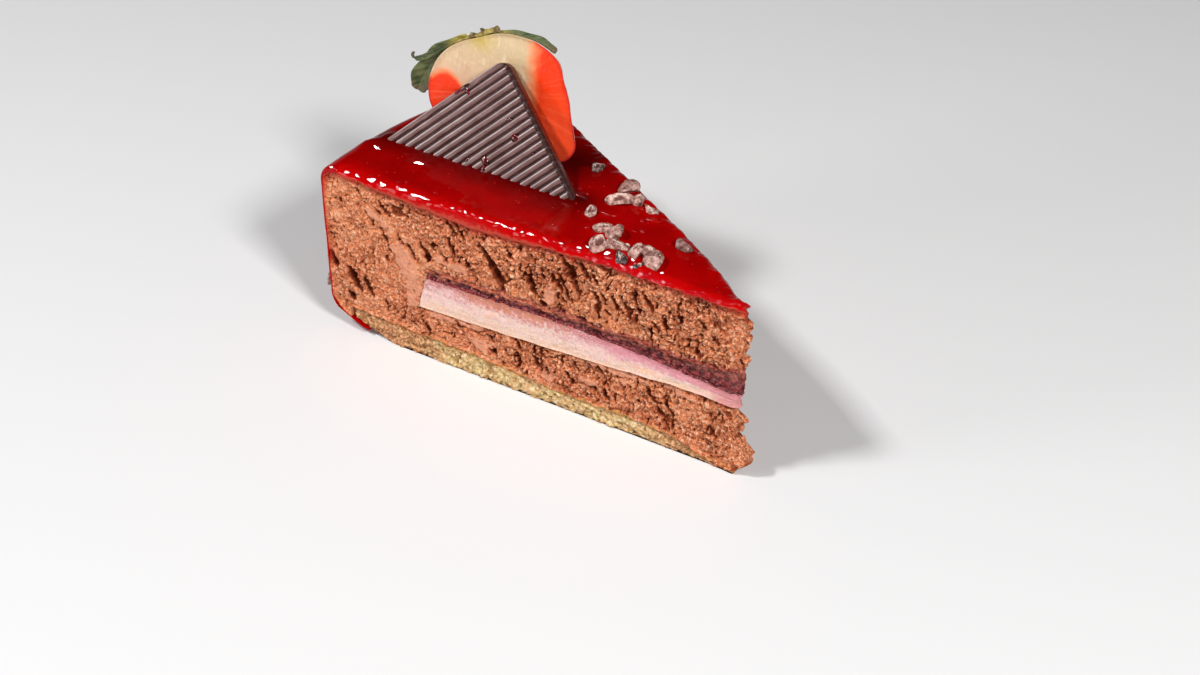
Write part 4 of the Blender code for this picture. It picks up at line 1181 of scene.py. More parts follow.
def ribbed_sheet_tree():
    given = new_tree("ribbed sheet", "Side", "Thickness", "Pitch", "Rib height", "Border", "Rim")
    side, thick = given["Side"] * MM, given["Thickness"] * MM
    size = node("ShaderNodeCombineXYZ", {0: side, 1: side, 2: thick})
    box = node("GeometryNodeMeshCube", {"Size": size, "Vertices X": 110, "Vertices Y": 260})
    shift = node("ShaderNodeCombineXYZ", {0: side * 0.5, 1: side * 0.5, 2: thick * -0.5})
    box = move(box, shift)
    place = node("GeometryNodeInputPosition") * PER_METRE
    wander = noise_at(place * (0.15, 0.5, 0.0), 1.0)
    past = ((wander - 0.5) * 0.22 + place.y - given["Border"]) / given["Pitch"]
    phase = calc("FRACT", past)
    rib = calc("MAXIMUM", fade(phase, 0.13, 0.46) * fade(phase, 1.0, 0.90), past < 0.0)
    rib = rib * fade(place.x, given["Rim"] - 0.15, given["Rim"] + 0.3)
    patchy = fade(noise_at(place, 0.8, 3.0), 0.62, 0.78) * 0.10
    rounded = fade(calc("MINIMUM", place.x, place.y), 0.0, 0.45, 0.35, 0.0)
    sink = (rib - 1.0) * given["Rib height"] - patchy - rounded
    on_top = place.z > given["Thickness"] * -0.5
    sheet = move(box, node("ShaderNodeCombineXYZ", {2: sink * on_top * MM}))
    # The upper flank of each rib, where the finish paints a sheen.
    brow = fade(phase, 0.24, 0.36) * fade(phase, 0.54, 0.40)
    for name, value in (("rib", rib * on_top), ("brow", brow * on_top), ("top", on_top)):
        sheet = write_field(sheet, name, value)
    return end_tree(write_field(sheet, "sheet", place, VECTOR), given)


def chocolate_finish(name):
    material, _ = new_finish(name, Specular_IOR_Level=0.32)
    sheet = field("sheet", 1)
    patchy = fade(noise_at(sheet * (0.12, 0.8, 1.0), 1.0, 3.0), 0.35, 0.60, 0.45, 0.95)
    cloud = fade(noise_at(sheet, 5.0, 4.0), 0.35, 0.68)
    # Painted light and shade: a pale sheen on each rib's upper flank, and dark grooves as shade.
    colour = coats(
        blend(cloud, (0.098, 0.038, 0.032), (0.155, 0.078, 0.072)),
        (field("brow") * patchy, (0.60, 0.49, 0.48)),
        (fade(field("rib"), 0.65, 0.20, 0.0, 0.95), (0.024, 0.005, 0.004)),
        (1.0 - field("top"), (0.155, 0.024, 0.014)),
        (fade(noise_at(sheet, 0.35, 3.0), 0.60, 0.75, 0.0, 0.35), (0.33, 0.24, 0.23)),
    )
    rough = fade(noise_at(sheet * (0.08, 2.2, 1.0), 1.0, 3.0), 0.35, 0.7, 0.27, 0.44)
    return shade(material, colour, rough, noise_at(sheet, 0.5, 3.0), 0.03, 0.6)


def trim(bm, point, outward):
    """Cuts off what lies outside a plane and closes the cut."""
    geometry = bm.verts[:] + bm.edges[:] + bm.faces[:]
    cut = bmesh.ops.bisect_plane(
        bm, geom=geometry, dist=1e-7, plane_co=point, plane_no=outward, clear_outer=True
    )
    edges = [item for item in cut["geom_cut"] if isinstance(item, bmesh.types.BMEdge)]
    bmesh.ops.holes_fill(bm, edges=edges, sides=0)


def build_plaque():
    """Returns the triangle and the frame of its sheet in the slice."""
    leg = PLAQUE_LONG_SIDE / math.sqrt(2.0)
    plaque = add_piece("ribbed_chocolate", [(0, 0, 0)], [])
    run_tree(plaque, ribbed_sheet_tree(), {
        "Side": leg * 1.02, "Thickness": PLAQUE_THICK, "Pitch": RIB_PITCH,
        "Rib height": RIB_HEIGHT, "Border": RIB_BORDER, "Rim": PLAQUE_RIM,
        "Material": chocolate_finish("dark_chocolate"),
    })
    bm = bmesh.new()
    bm.from_mesh(plaque.data)
    trim(bm, Vector((leg * MM, 0.0, 0.0)), Vector((1.0, 1.0, 0.0)).normalized())
    for turn, reach in ((22.5, 0.90), (45.0, 1.0), (67.5, 0.90)):
        way = Vector((-math.cos(math.radians(turn)), -math.sin(math.radians(turn)), 0.0))
        inset = PLAQUE_CORNER * MM * reach * 0.5
        trim(bm, Vector((inset, inset, 0.0)), way)
    up = Vector((0.0, 0.0, 1.0))
    along = Vector((math.cos(PLAQUE_TURN), math.sin(PLAQUE_TURN), 0.0))
    back = Vector((-along.y, along.x, 0.0))
    rise = back * math.cos(PLAQUE_LEAN) + up * math.sin(PLAQUE_LEAN)
    left = Vector((APEX_X - PLAQUE_LEFT[0], PLAQUE_LEFT[1], TOP + 0.3)) * MM
    right = left + along * PLAQUE_LONG_SIDE * MM
    corner = left + (along + rise) * PLAQUE_LONG_SIDE * MM / 2
    border_way, step_way = (left - corner).normalized(), (right - corner).normalized()
    turn = Matrix((border_way, step_way, border_way.cross(step_way))).transposed().to_4x4()
    frame = Matrix.Translation(corner) @ turn
    bm.transform(frame)
    trim(bm, Vector((0.0, 0.0, (TOP - 0.15) * MM)), -up)
    bmesh.ops.recalc_face_normals(bm, faces=bm.faces[:])
    bm.to_mesh(plaque.data)
    bm.free()
    return plaque, frame


plaque, PLAQUE_FRAME = build_plaque()
finish(plaque, "chocolate_triangle")

# %% [markdown]
# ## Half strawberry
#
# The fruit was cut in half from the stalk to the point and stands with its cut face to the
# front. Its outline is drawn as a closed curve round the middle of the face, and rings of
# points run from that middle over the rim to the back. Every point keeps its place on the
# fruit as a field, so that the flesh, the red border and the skin can be painted by place.

# %% The berry's own coordinates
BERRY_OUTLINE = (
    (0.4, 0.9), (3.1, 4.8), (2.6, 7.9), (1.5, 11.8), (0.8, 15.6), (-1.0, 20.4),
    (-2.6, 24.7), (-7.4, 27.6), (-14.2, 28.4), (-20.5, 27.2), (-25.0, 25.1),
    (-29.5, 23.0), (-34.5, 19.3), (-37.8, 14.2), (-39.0, 8.6), (-37.6, 3.6),
    (-32.0, 0.6), (-26.0, 0.3), (-20.0, 0.2), (-14.0, 0.2), (-8.0, 0.3), (-3.5, 0.4),
)
BERRY_RIGHT = np.array((math.cos(BERRY_TURN), math.sin(BERRY_TURN), 0.0))
LEVEL_BACK = np.array((-BERRY_RIGHT[1], BERRY_RIGHT[0], 0.0))
BERRY_UP = np.array((0.0, 0.0, 1.0)) * math.cos(BERRY_LEAN) + LEVEL_BACK * math.sin(BERRY_LEAN)
BERRY_BACK = -np.cross(BERRY_RIGHT, BERRY_UP)
BERRY_ORIGIN = np.array((APEX_X - BERRY_FOOT[0], BERRY_FOOT[1], TOP + BERRY_LIFT))


def berry_point(spots):
    """Places on the fruit (across, up, back) in the slice's frame."""
    return BERRY_ORIGIN + np.asarray(spots) @ np.stack([BERRY_RIGHT, BERRY_UP, BERRY_BACK])


def outline_reach(angles):
    """Distance from the middle of the cut face to its outline, smooth through the points."""
    spots = np.array(BERRY_OUTLINE) - BERRY_CENTRE
    order = np.argsort(np.arctan2(spots[:, 1], spots[:, 0]))
    a = np.arctan2(spots[order, 1], spots[order, 0])
    r = np.hypot(*spots[order].T)
    count = len(a)
    angles = np.asarray((np.asarray(angles) - a[0]) % math.tau + a[0])
    index = np.clip(np.searchsorted(a, angles, side="right") - 1, 0, count - 1)
    after = (index + 1) % count
    span = (a[after] - a[index]) % math.tau
    t = (angles - a[index]) / span
    r0, r1, before, later = r[index], r[after], r[index - 1], r[(index + 2) % count]
    return 0.5 * (
        2.0 * r0 + (r1 - before) * t + (2.0 * before - 5.0 * r0 + 4.0 * r1 - later) * t * t
        + (3.0 * r0 - before - 3.0 * r1 + later) * t ** 3
    )


def cap_spot(turn):
    """Share of the outline and of the depth, at a turn from the cut's rim to the back."""
    start = math.sin(CAP_START)
    return np.cos(turn) / math.cos(CAP_START), (np.sin(turn) - start) / (1.0 - start)


def berry_spot(angle, reach, back):
    edge = outline_reach(angle)
    across = BERRY_CENTRE[0] + np.cos(angle) * edge * reach
    up = BERRY_CENTRE[1] + np.sin(angle) * edge * reach
    return np.stack(np.broadcast_arrays(across, up, back), axis=-1)


# %% Seeds over the skin
GOLDEN = math.radians(137.508)
SEED_COUNT = 150


def seed_places():
    """Even places over the back of the fruit, in a spiral, none under the leaves."""
    number = np.arange(SEED_COUNT) + 0.5
    share = 0.02 + 0.97 * number / SEED_COUNT
    reach, back = cap_spot(np.arcsin(math.sin(CAP_START) + share * (1.0 - math.sin(CAP_START))))
    spots = berry_spot(number * GOLDEN, reach, back * BERRY_DEPTH)
    return spots[(spots[:, 1] < 25.0) & (spots[:, 1] > 1.2)]


SEEDS = seed_places()
print(len(SEEDS), "seeds")


# %% Build the berry
def build_berry():
    turns = 168
    face_reach = np.concatenate([np.linspace(0.03, 0.95, 34), [0.975, 0.99, 0.997, 1.0]])
    turns_back = np.radians(np.concatenate([[35.6, 36.6], np.linspace(38.5, 88.5, 36)]))
    cap_reach, cap_back = cap_spot(turns_back)
    reach = np.concatenate([face_reach, cap_reach])
    lift = np.concatenate([np.zeros(len(face_reach)), cap_back])
    angle = np.linspace(0.0, math.tau, turns, endpoint=False)
    rings = [berry_spot(angle, r, b * BERRY_DEPTH) for r, b in zip(reach, lift)]
    spots = np.concatenate([[(*BERRY_CENTRE, 0.0)], *rings, [(*BERRY_CENTRE, BERRY_DEPTH)]])
    skin = np.concatenate([[0.0], np.repeat(lift > 0.0, turns), [1.0]])
    rim = np.concatenate([[0.0], np.repeat(np.where(lift > 0, 1.0, reach), turns), [1.0]])

    ray = np.arctan2(spots[:, 1] - BERRY_CENTRE[1], spots[:, 0] - BERRY_CENTRE[0])
    fibre = bumps(0.05, 91.0, ray, rim * 0.02) * smooth_step(0.45, 0.7, rim)
    sag = 0.35 * bumps(7.0, 92.0, spots[:, 0], spots[:, 1]) + 0.10 * fibre
    sag += 0.12 * bumps(1.3, 93.0, spots[:, 0], spots[:, 1]) * smooth_step(0.9, 0.6, rim)
    flat = (skin == 0) * smooth_step(1.0, 0.93, rim)
    spots[:, 2] += flat * (0.25 + sag)

    middle = np.array((*BERRY_CENTRE, 0.0))
    way = spots - middle
    way = way / np.maximum(np.linalg.norm(way, axis=1), 1e-6)[:, None]
    dents = np.zeros(len(spots))
    for seed in SEEDS:
        away = np.linalg.norm(spots - seed, axis=1)
        dents += np.exp(-((away / 0.95) ** 2)) - 0.35 * np.exp(-((away / 2.0) ** 2))
    spots -= way * (0.42 * dents * skin + 0.15 * bumps(5.0, 94.0, *spots.T) * skin)[:, None]

    faces = []
    count = len(reach)
    for ring in range(count - 1):
        a = 1 + ring * turns
        for step in range(turns):
            after = (step + 1) % turns
            faces.append((a + step, a + after, a + turns + after, a + turns + step))
    last = 1 + (count - 1) * turns
    for step in range(turns):
        after = (step + 1) % turns
        faces.append((0, 1 + after, 1 + step))
        faces.append((last + step, last + after, len(spots) - 1))
    fields = {"flesh": spots, "skin": skin, "rim": rim}
    berry = add_piece("half_strawberry", berry_point(spots), faces, fields)
    mesh = berry.data
    bm = bmesh.new()
    bm.from_mesh(mesh)
    bmesh.ops.recalc_face_normals(bm, faces=bm.faces[:])
    bm.to_mesh(mesh)
    bm.free()
    mesh.shade_smooth()
    return berry


def berry_finish(name):
    material, place = new_finish(
        name, Specular_IOR_Level=0.22, Subsurface_Weight=0.15, Subsurface_Scale=1.2 * MM,
        Subsurface_Radius=(1.0, 0.4, 0.2),
    )
    flesh = field("flesh", 1)
    across, up = flesh.x, flesh.y
    soft = noise_at(flesh, 3.2, 3.0) * 3.2 + -1.6
    right_band = across + 9.6 + soft
    left_top = abs(across + 34.0) ** 2.0 * -0.12 + 14.0
    left_band = (left_top - up) * 2.0 + soft
    red = calc("MAXIMUM", calc("MAXIMUM", right_band, left_band), 7.0 - up)
    stalk = node(
        "ShaderNodeVectorMath", {0: flesh, 1: (-24.6, 26.5, 0.0)}, 1, operation="DISTANCE"
    )
    deep = fade(red, 1.0, 4.0) * fade(22.0 - up, 0.0, 14.0)
    turn = calc("ARCTAN2", up - 13.0, across + 17.5)
    rays = node("ShaderNodeCombineXYZ", {0: turn * 26.0, 1: up * 0.05})
    ray = fade(noise_at(rays, 1.0), 0.55, 0.75, 0.0, 0.45)
    core = fade(noise_at(flesh * (1.3, 0.25, 1.0), 1.0), 0.58, 0.72, 0.0, 0.5)
    ruddy = fade(noise_at(place, 6.0, 3.0), 0.35, 0.65)
    skin = coats(
        blend(ruddy, (0.58, 0.012, 0.010), (0.72, 0.03, 0.012)),
        (fade(up, 21.0, 27.0, 0.0, 0.8), (0.86, 0.48, 0.22)),
    )
    colour = coats(
        blend(fade(up, 24.0, 10.0), (0.64, 0.475, 0.28), (0.70, 0.43, 0.285)),
        (fade(stalk, 6.4, 0.5, 0.0, 0.9), (0.55, 0.40, 0.05)),
        (fade(noise_at(flesh, 4.0), 0.5, 0.7, 0.0, 0.4), (0.76, 0.58, 0.37)),
        (fade(red, -3.4, 0.8), (0.86, 0.26, 0.10)),
        (fade(red, -0.8, 2.6), (0.86, 0.038, 0.003)),
        (deep, (0.86, 0.038, 0.004)),
        # Painted light: a brighter red where the chocolate's shadow falls on the lower right.
        (deep * fade(across, -15.0, -9.0), (1.0, 0.085, 0.024)),
        (ray * fade(red, -2.0, 1.5), (0.88, 0.25, 0.11)),
        (core * fade(red, -1.0, -4.0), (0.82, 0.68, 0.46)),
        (fade(field("rim"), 0.965, 0.995) * fade(red, -1.0, 1.0), (0.62, 0.03, 0.03)),
        (field("skin"), skin),
    )
    rough = fade(noise_at(place, 1.5), 0.35, 0.65, 0.22, 0.42)
    return shade(material, colour, rough, noise_at(place, 0.5, 3.0), 0.05, 0.6)


finish(build_berry(), "strawberry", berry_finish("strawberry_flesh"))

# %% [markdown]
# ## Leaves
#
# The cap of leaves is seen from the front as dark green strips that hang over the shoulder of
# the fruit. Each is a strip of faces along a bent line, wider in its middle and wavy, and one
# Solidify gives them all their thickness.

# %% Build the leaves
LEAF_CLEAR, LEAF_THICK = 1.02, 0.45
LEAVES = (  # points along it, widest, turn about its length in degrees, blunt end
    (((-31.0, 22.8, 0.6), (-33.6, 21.2, 1.0), (-37.1, 18.4, 1.4), (-41.2, 15.4, 1.8),
      (-44.2, 14.0, 2.0), (-45.4, 14.5, 2.0), (-44.8, 15.6, 2.0)), 1.5, 78.0, 0.35),
    (((-29.0, 23.0, 2.2), (-34.0, 19.5, 2.8), (-38.2, 15.6, 3.0), (-41.4, 11.4, 3.0),
      (-43.4, 7.6, 3.0), (-44.0, 5.4, 3.0)), 6.2, 76.0, 0.8),
    (((-28.0, 24.0, 2.0), (-33.0, 19.0, 5.5), (-35.5, 13.0, 7.0), (-36.0, 8.0, 7.5)),
     5.4, 0.0, 0.3),
    (((-24.0, 26.0, 1.8), (-26.0, 23.0, 6.0), (-27.5, 17.0, 9.0), (-27.5, 11.0, 10.4)),
     6.0, 0.0, 0.3),
    (((-21.0, 26.6, 1.8), (-17.0, 24.0, 6.0), (-13.0, 18.0, 8.6), (-11.5, 12.5, 9.4)),
     6.0, 0.0, 0.3),
    (((-20.6, 27.2, 0.6), (-16.0, 27.6, 1.6), (-11.2, 27.6, 2.0),
      (-7.4, 26.9, 2.2), (-4.9, 26.1, 2.2)), 2.9, 58.0, 0.6),
    (((-32.0, 21.6, 0.3), (-29.6, 23.1, 0.1), (-28.0, 24.0, 0.4), (-26.6, 25.3, -0.1),
      (-25.6, 25.1, 0.4), (-24.4, 25.8, -0.1), (-23.2, 26.9, 0.4), (-22.2, 27.3, -0.1),
      (-21.2, 27.9, 0.4), (-19.9, 28.3, 0.0), (-18.8, 28.0, 0.3)), 1.5, 70.0, 0.5),
    (((-24.6, 25.6, 0.5), (-24.0, 26.8, 0.2), (-24.4, 27.6, -0.1)), 1.0, 60.0, 0.6),
    (((-21.2, 27.4, 0.5), (-20.4, 28.6, 0.2), (-19.3, 28.7, -0.1)), 1.1, 60.0, 0.6),
    (((-27.4, 24.2, 0.5), (-27.2, 25.3, 0.1), (-26.2, 25.7, -0.2)), 0.9, 60.0, 0.6),
)
FIRST_CRINKLED = 6  # the rows before it are the flat leaves
LEAF_STEPS, LEAF_CUTS = 22, 6


def outside_berry(spots):
    """Pushes places out until they clear the fruit, which is the cap of an egg."""
    start = math.sin(CAP_START)
    half_depth = BERRY_DEPTH / (1.0 - start)
    middle = np.array((*BERRY_CENTRE, -half_depth * start))
    way = spots - middle
    reach = np.hypot(way[:, 0], way[:, 1]) / outline_reach(np.arctan2(way[:, 1], way[:, 0]))
    size = np.hypot(reach * math.cos(CAP_START), way[:, 2] / half_depth)
    return middle + way * np.maximum(1.0, LEAF_CLEAR / size)[:, None]


def curve_through(points, count):
    """A smooth curve through the points, evenly spaced."""
    points = np.array(points)
    ends = np.concatenate([[2 * points[0] - points[1]], points, [2 * points[-1] - points[-2]]])
    t = np.linspace(0.0, len(points) - 1.001, count)
    index, u = t.astype(int), (t % 1.0)[:, None]
    a, b, c, d = (ends[index + step] for step in range(4))
    bend, twist = 2 * a - 5 * b + 4 * c - d, 3 * b - a - 3 * c + d
    return 0.5 * (2 * b + (c - a) * u + bend * u ** 2 + twist * u ** 3)


def leaf_strip(points, widest, turn, blunt, number):
    line = curve_through(points, LEAF_STEPS + 1)
    way = np.gradient(line, axis=0)
    way /= np.linalg.norm(way, axis=1)[:, None]
    outward = line - np.array((*BERRY_CENTRE, 0.0))
    outward /= np.linalg.norm(outward, axis=1)[:, None]
    side = np.cross(way, outward)
    side /= np.linalg.norm(side, axis=1)[:, None]
    up = np.cross(side, way)
    spin = math.radians(turn)
    side, up = (
        side * math.cos(spin) + up * math.sin(spin), up * math.cos(spin) - side * math.sin(spin)
    )
    t = np.linspace(0.0, 1.0, LEAF_STEPS + 1)
    taper = np.minimum(1.0, (1.0 - t) / 0.06 + 0.15) ** 0.5
    half = (
        widest / 2 * (np.sin(math.pi * (0.16 + 0.62 * t)) * (1 - t ** 6) + blunt * t ** 6) * taper
    )
    rows = []
    for cut in np.linspace(-1.0, 1.0, LEAF_CUTS + 1):
        wave = 0.22 * math.copysign(abs(cut) ** 1.5, cut) * np.sin(4.4 * math.pi * t + number)
        cup = -0.30 * abs(cut) ** 1.3 + 0.16 * (abs(cut) < 0.1)
        ragged = 1.0 + 0.10 * np.sin(17.0 * t + number * 2.0) * abs(cut)
        rows.append(
            line + side * (half * cut * ragged)[:, None]
            + up * ((cup + wave) * half / 1.6)[:, None]
        )
    return np.stack(rows, axis=1)


def build_calyx():
    spots, faces, fields = [], [], []
    for number, (points, widest, turn, blunt) in enumerate(LEAVES):
        rows = leaf_strip(points, widest, turn, blunt, number)
        start = len(spots)
        for i in range(LEAF_STEPS + 1):
            for j in range(LEAF_CUTS + 1):
                spots.append(rows[i, j])
                fields.append((2.0 * j / LEAF_CUTS - 1.0, i / LEAF_STEPS, number))
                if i and j:
                    a = start + (i - 1) * (LEAF_CUTS + 1) + j - 1
                    faces.append((a, a + 1, a + LEAF_CUTS + 2, a + LEAF_CUTS + 1))
    points = outside_berry(np.array(spots))
    calyx = add_piece("leaf_cap", berry_point(points), faces, {"leaf": np.array(fields, float)})
    solid = calyx.modifiers.new("thickness", "SOLIDIFY")
    solid.thickness = LEAF_THICK * MM
    solid.offset = 0.0
    smooth = calyx.modifiers.new("smooth", "SUBSURF")
    smooth.levels = smooth.render_levels = 1
    return flatten(calyx)


def leaf_finish(name):
    material, place = new_finish(name, Specular_IOR_Level=0.4)
    leaf = field("leaf", 1)
    over, along = abs(leaf.x), leaf.y
    patch = noise_at(place, 3.0, 4.0)
    crinkled = leaf.z > FIRST_CRINKLED - 0.5
    colour = coats(
        blend(fade(patch, 0.35, 0.65), (0.048, 0.072, 0.024), (0.120, 0.140, 0.050)),
        (fade(along, 0.30, 0.0, 0.0, 0.85), (0.42, 0.34, 0.05)),
        (crinkled * 0.9, blend(fade(patch, 0.4, 0.6), (0.46, 0.36, 0.08), (0.16, 0.085, 0.03))),
        (fade(patch * 0.7 + along, 1.02, 1.35, 0.0, 0.85), (0.120, 0.075, 0.040)),
        (fade(over, 0.10, 0.0, 0.0, 0.5), (0.20, 0.24, 0.08)),
    )
    ribs = calc("SINE", along * 60.0 + over * -9.0)
    rough = fade(patch, 0.3, 0.7, 0.42, 0.65)
    return shade(material, colour, rough, ribs + patch, 0.06, 0.8)


finish(build_calyx(), "strawberry_calyx", leaf_finish("strawberry_leaf"))

# %% [markdown]
# ## Small things from a table
#
# Cocoa nibs, seeds and drops of glaze all repeat: a few shapes, many places. Copying objects
# by hand would work for ten of them, but a tree that reads sizes and turns from a table of
# points makes any number, and changes with one line.

# %% The placing tree
def instances(given, points, pick, turn, size):
    """Puts one of the shapes on each point."""
    shapes = node("GeometryNodeCollectionInfo", {
        0: given["Shapes"], "Separate Children": True, "Reset Children": True,
    })
    return node("GeometryNodeInstanceOnPoints", {
        "Points": points, "Instance": shapes, "Pick Instance": True, "Instance Index": pick,
        "Rotation": node("FunctionNodeEulerToRotation", {0: turn}), "Scale": size,
    })


def placing_tree():
    given = new_tree("placed pieces", "Roughness", "Rough size", Shapes="Collection")
    points = node("GeometryNodeMeshToPoints", {0: given["Geometry"]})
    turn, size = read_field("turn", VECTOR), read_field("size", VECTOR)
    placed = instances(given, points, read_field("pick", "INT"), turn, size)
    loose = node("GeometryNodeRealizeInstances", {0: placed})
    place = node("GeometryNodeInputPosition") * PER_METRE
    way = noise_at(place, given["Rough size"], 3.0, out=1) - HALF
    return end_tree(move(loose, way * (given["Roughness"] * (2.0 * MM))), given)


PLACING_TREE = placing_tree()


def run_with_shapes(piece, tree, shapes, values):
    """Runs a tree on shapes that are then used up."""
    group = bpy.data.collections.new(piece.name + "_shapes")
    for number, shape in enumerate(shapes):
        shape.name = f"shape_{number:02d}_{piece.name}"
        bpy.context.scene.collection.objects.unlink(shape)
        group.objects.link(shape)
    run_tree(piece, tree, {"Shapes": group, **values})
    for shape in list(group.objects):
        bpy.data.objects.remove(shape, do_unlink=True)
    bpy.data.collections.remove(group)
    return piece


def place_from_table(name, shapes, rows, rough, rough_size, material):
    """rows hold place, size, turn, and perhaps the shape's number and a tone."""
    rows = [(*row, 0, 0.0)[:5] for row in rows]
    places, sizes, turns, picks, tones = (np.array(column, float) for column in zip(*rows))
    piece = add_piece(name, places, [], {"size": sizes, "turn": turns, "tone": tones})
    pick = piece.data.attributes.new("pick", "INT", "POINT")
    pick.data.foreach_set("value", picks.astype(np.int32))
    values = {"Roughness": rough, "Rough size": rough_size, "Material": material}
    return run_with_shapes(piece, PLACING_TREE, shapes, values)


def shape_from(bm, name, points, fields=None):
    """A piece with the faces of a bmesh, and new places for its points."""
    faces = [[vert.index for vert in face.verts] for face in bm.faces]
    bm.free()
    return add_piece(name, points, faces, fields)


def shard(seed, detail, sides, hollow):
    """A broken shard, 1 mm across: a ball cut by flat planes, with a hollow in its top."""
    draw = np.random.default_rng(seed)
    bm = bmesh.new()
    bmesh.ops.create_icosphere(bm, subdivisions=detail, radius=1.0)
    way = np.array([vert.co for vert in bm.verts])
    planes = draw.normal(size=(sides, 3))
    planes /= np.linalg.norm(planes, axis=1)[:, None]
    depth = draw.uniform(0.28, 0.5, sides)
    facing = way @ planes.T
    reach = np.where(facing > 0.05, depth / np.maximum(facing, 0.05), 9.0).min(axis=1)
    points = way * np.minimum(reach, 0.62)[:, None]
    middle = draw.uniform(-0.12, 0.12, 2)
    away = np.hypot((points[:, 0] - middle[0]) / 1.5, points[:, 1] - middle[1])
    dent = np.exp(-((away / 0.17) ** 2.6)) * (points[:, 2] > 0.0) * hollow
    points[:, 2] -= 0.42 * dent
    return shape_from(bm, f"shard_{seed}", points, {"dent": dent})


# %% Cocoa nibs
NIB_HOLLOWS = (1.0, 0.0, 0.9, 0.7, 0.3, 1.0)
WALL_NIB_HEIGHT, WALL_NIB_SHARE, WALL_NIB_OUT = 11.4, 0.035, 0.4


def nib_finish(name):
    material, place = new_finish(name, Specular_IOR_Level=0.3)
    patch = noise_at(place, 1.3, 4.0)
    light = ramp(patch, [
        (0.30, (0.085, 0.030, 0.022)), (0.43, (0.29, 0.120, 0.095)),
        (0.55, (0.50, 0.275, 0.230)), (0.72, (0.74, 0.51, 0.44)),
    ])
    dark = ramp(patch, [
        (0.38, (0.02, 0.008, 0.008)), (0.55, (0.07, 0.045, 0.045)), (0.70, (0.42, 0.32, 0.32)),
    ])
    dent = noise_at(place, 0.6) * 0.5 + (field("dent") - 0.25)
    # Painted light and shade: a light ring round each hollow and a dark inside it.
    colour = coats(
        blend(field("tone"), light, dark),
        (fade(dent, 0.02, 0.12) * fade(dent, 0.40, 0.22) * 0.7, (0.80, 0.60, 0.52)),
        (fade(dent, 0.30, 0.60, 0.0, 0.85), (0.12, 0.028, 0.020)),
        (fade(noise_at(place, 0.5, 3.0), 0.44, 0.32, 0.0, 0.8), (0.05, 0.015, 0.012)),
    )
    rough = fade(patch, 0.3, 0.7, 0.5, 0.75)
    return shade(material, colour, rough, noise_at(place, 0.45, 4.0), 0.2, 1.0)


def build_nibs():
    draw = random.Random(12)
    rows = []
    for number, (away, side, length, width, height, turn, dark) in enumerate(NIBS):
        tilt = (draw.uniform(-0.3, 0.3), draw.uniform(-0.3, 0.3), math.radians(turn))
        spot = (APEX_X - away, side, TOP + 0.22 * height)
        rows.append((spot, (length, width, height), tilt, number % 6, dark))
    angle = (2.0 * WALL_NIB_SHARE - 1.0) * HALF_ANGLE
    reach = CAKE_RADIUS + WALL_NIB_OUT
    wall = (APEX_X - reach * math.cos(angle), reach * math.sin(angle), WALL_NIB_HEIGHT)
    rows.append((wall, (2.8, 3.0, 4.2), (0.2, 0.1, 0.3), 2, 0.5))
    shapes = [shard(30 + number, 5, 7, hollow) for number, hollow in enumerate(NIB_HOLLOWS)]
    return place_from_table("cocoa_nibs", shapes, rows, 0.22, 0.75, nib_finish("cocoa_nib"))


finish(build_nibs(), "glaze")

# %% Strawberry seeds
SEED_SIZE, SEED_SUNK = (0.75, 1.15, 0.45), 0.018


def seed_finish(name):
    material, place = new_finish(name, Specular_IOR_Level=0.5)
    patch = fade(noise_at(place, 0.7), 0.4, 0.6)
    colour = blend(patch, (0.62, 0.34, 0.05), (0.80, 0.55, 0.16))
    return shade(material, colour, 0.35, noise_at(place, 0.2), 0.04, 0.8)


def build_seeds():
    middle = np.array((*BERRY_CENTRE, 0.0))
    rows = []
    for spot in SEEDS:
        way = (spot - middle) @ np.stack([BERRY_RIGHT, BERRY_UP, BERRY_BACK])
        turn = Vector(way).to_track_quat("Z", "Y").to_euler()
        place = berry_point(spot[None] - (spot - middle)[None] * SEED_SUNK)[0]
        rows.append((place, SEED_SIZE, tuple(turn)))
    bm = bmesh.new()
    bmesh.ops.create_uvsphere(bm, u_segments=10, v_segments=6, radius=0.5)
    points = [vert.co * 1.0 for vert in bm.verts]
    for point in points:
        point.x *= 1.0 - 0.45 * (point.y + 0.5)
    shape = shape_from(bm, "seed", points)
    material = seed_finish("strawberry_seed")
    return place_from_table("strawberry_seeds", [shape], rows, 0.0, 1.0, material)


finish(build_seeds())

# %% Drops of glaze on the chocolate
DROPS = (  # place along the border and down the ribs, length, width, height
    (6.5, 17.3, 2.1, 2.0, 1.2), (5.7, 12.9, 1.2, 1.3, 0.7), (16.2, 17.8, 1.7, 2.8, 0.9),
    (17.4, 19.3, 1.3, 1.6, 0.8), (12.6, 0.5, 4.0, 1.1, 0.9), (12.2, 1.6, 1.1, 2.2, 0.8),
    (14.8, 0.4, 1.8, 1.1, 0.8), (20.4, 15.4, 1.6, 0.9, 0.5), (4.0, 22.8, 0.8, 0.8, 0.4),
)


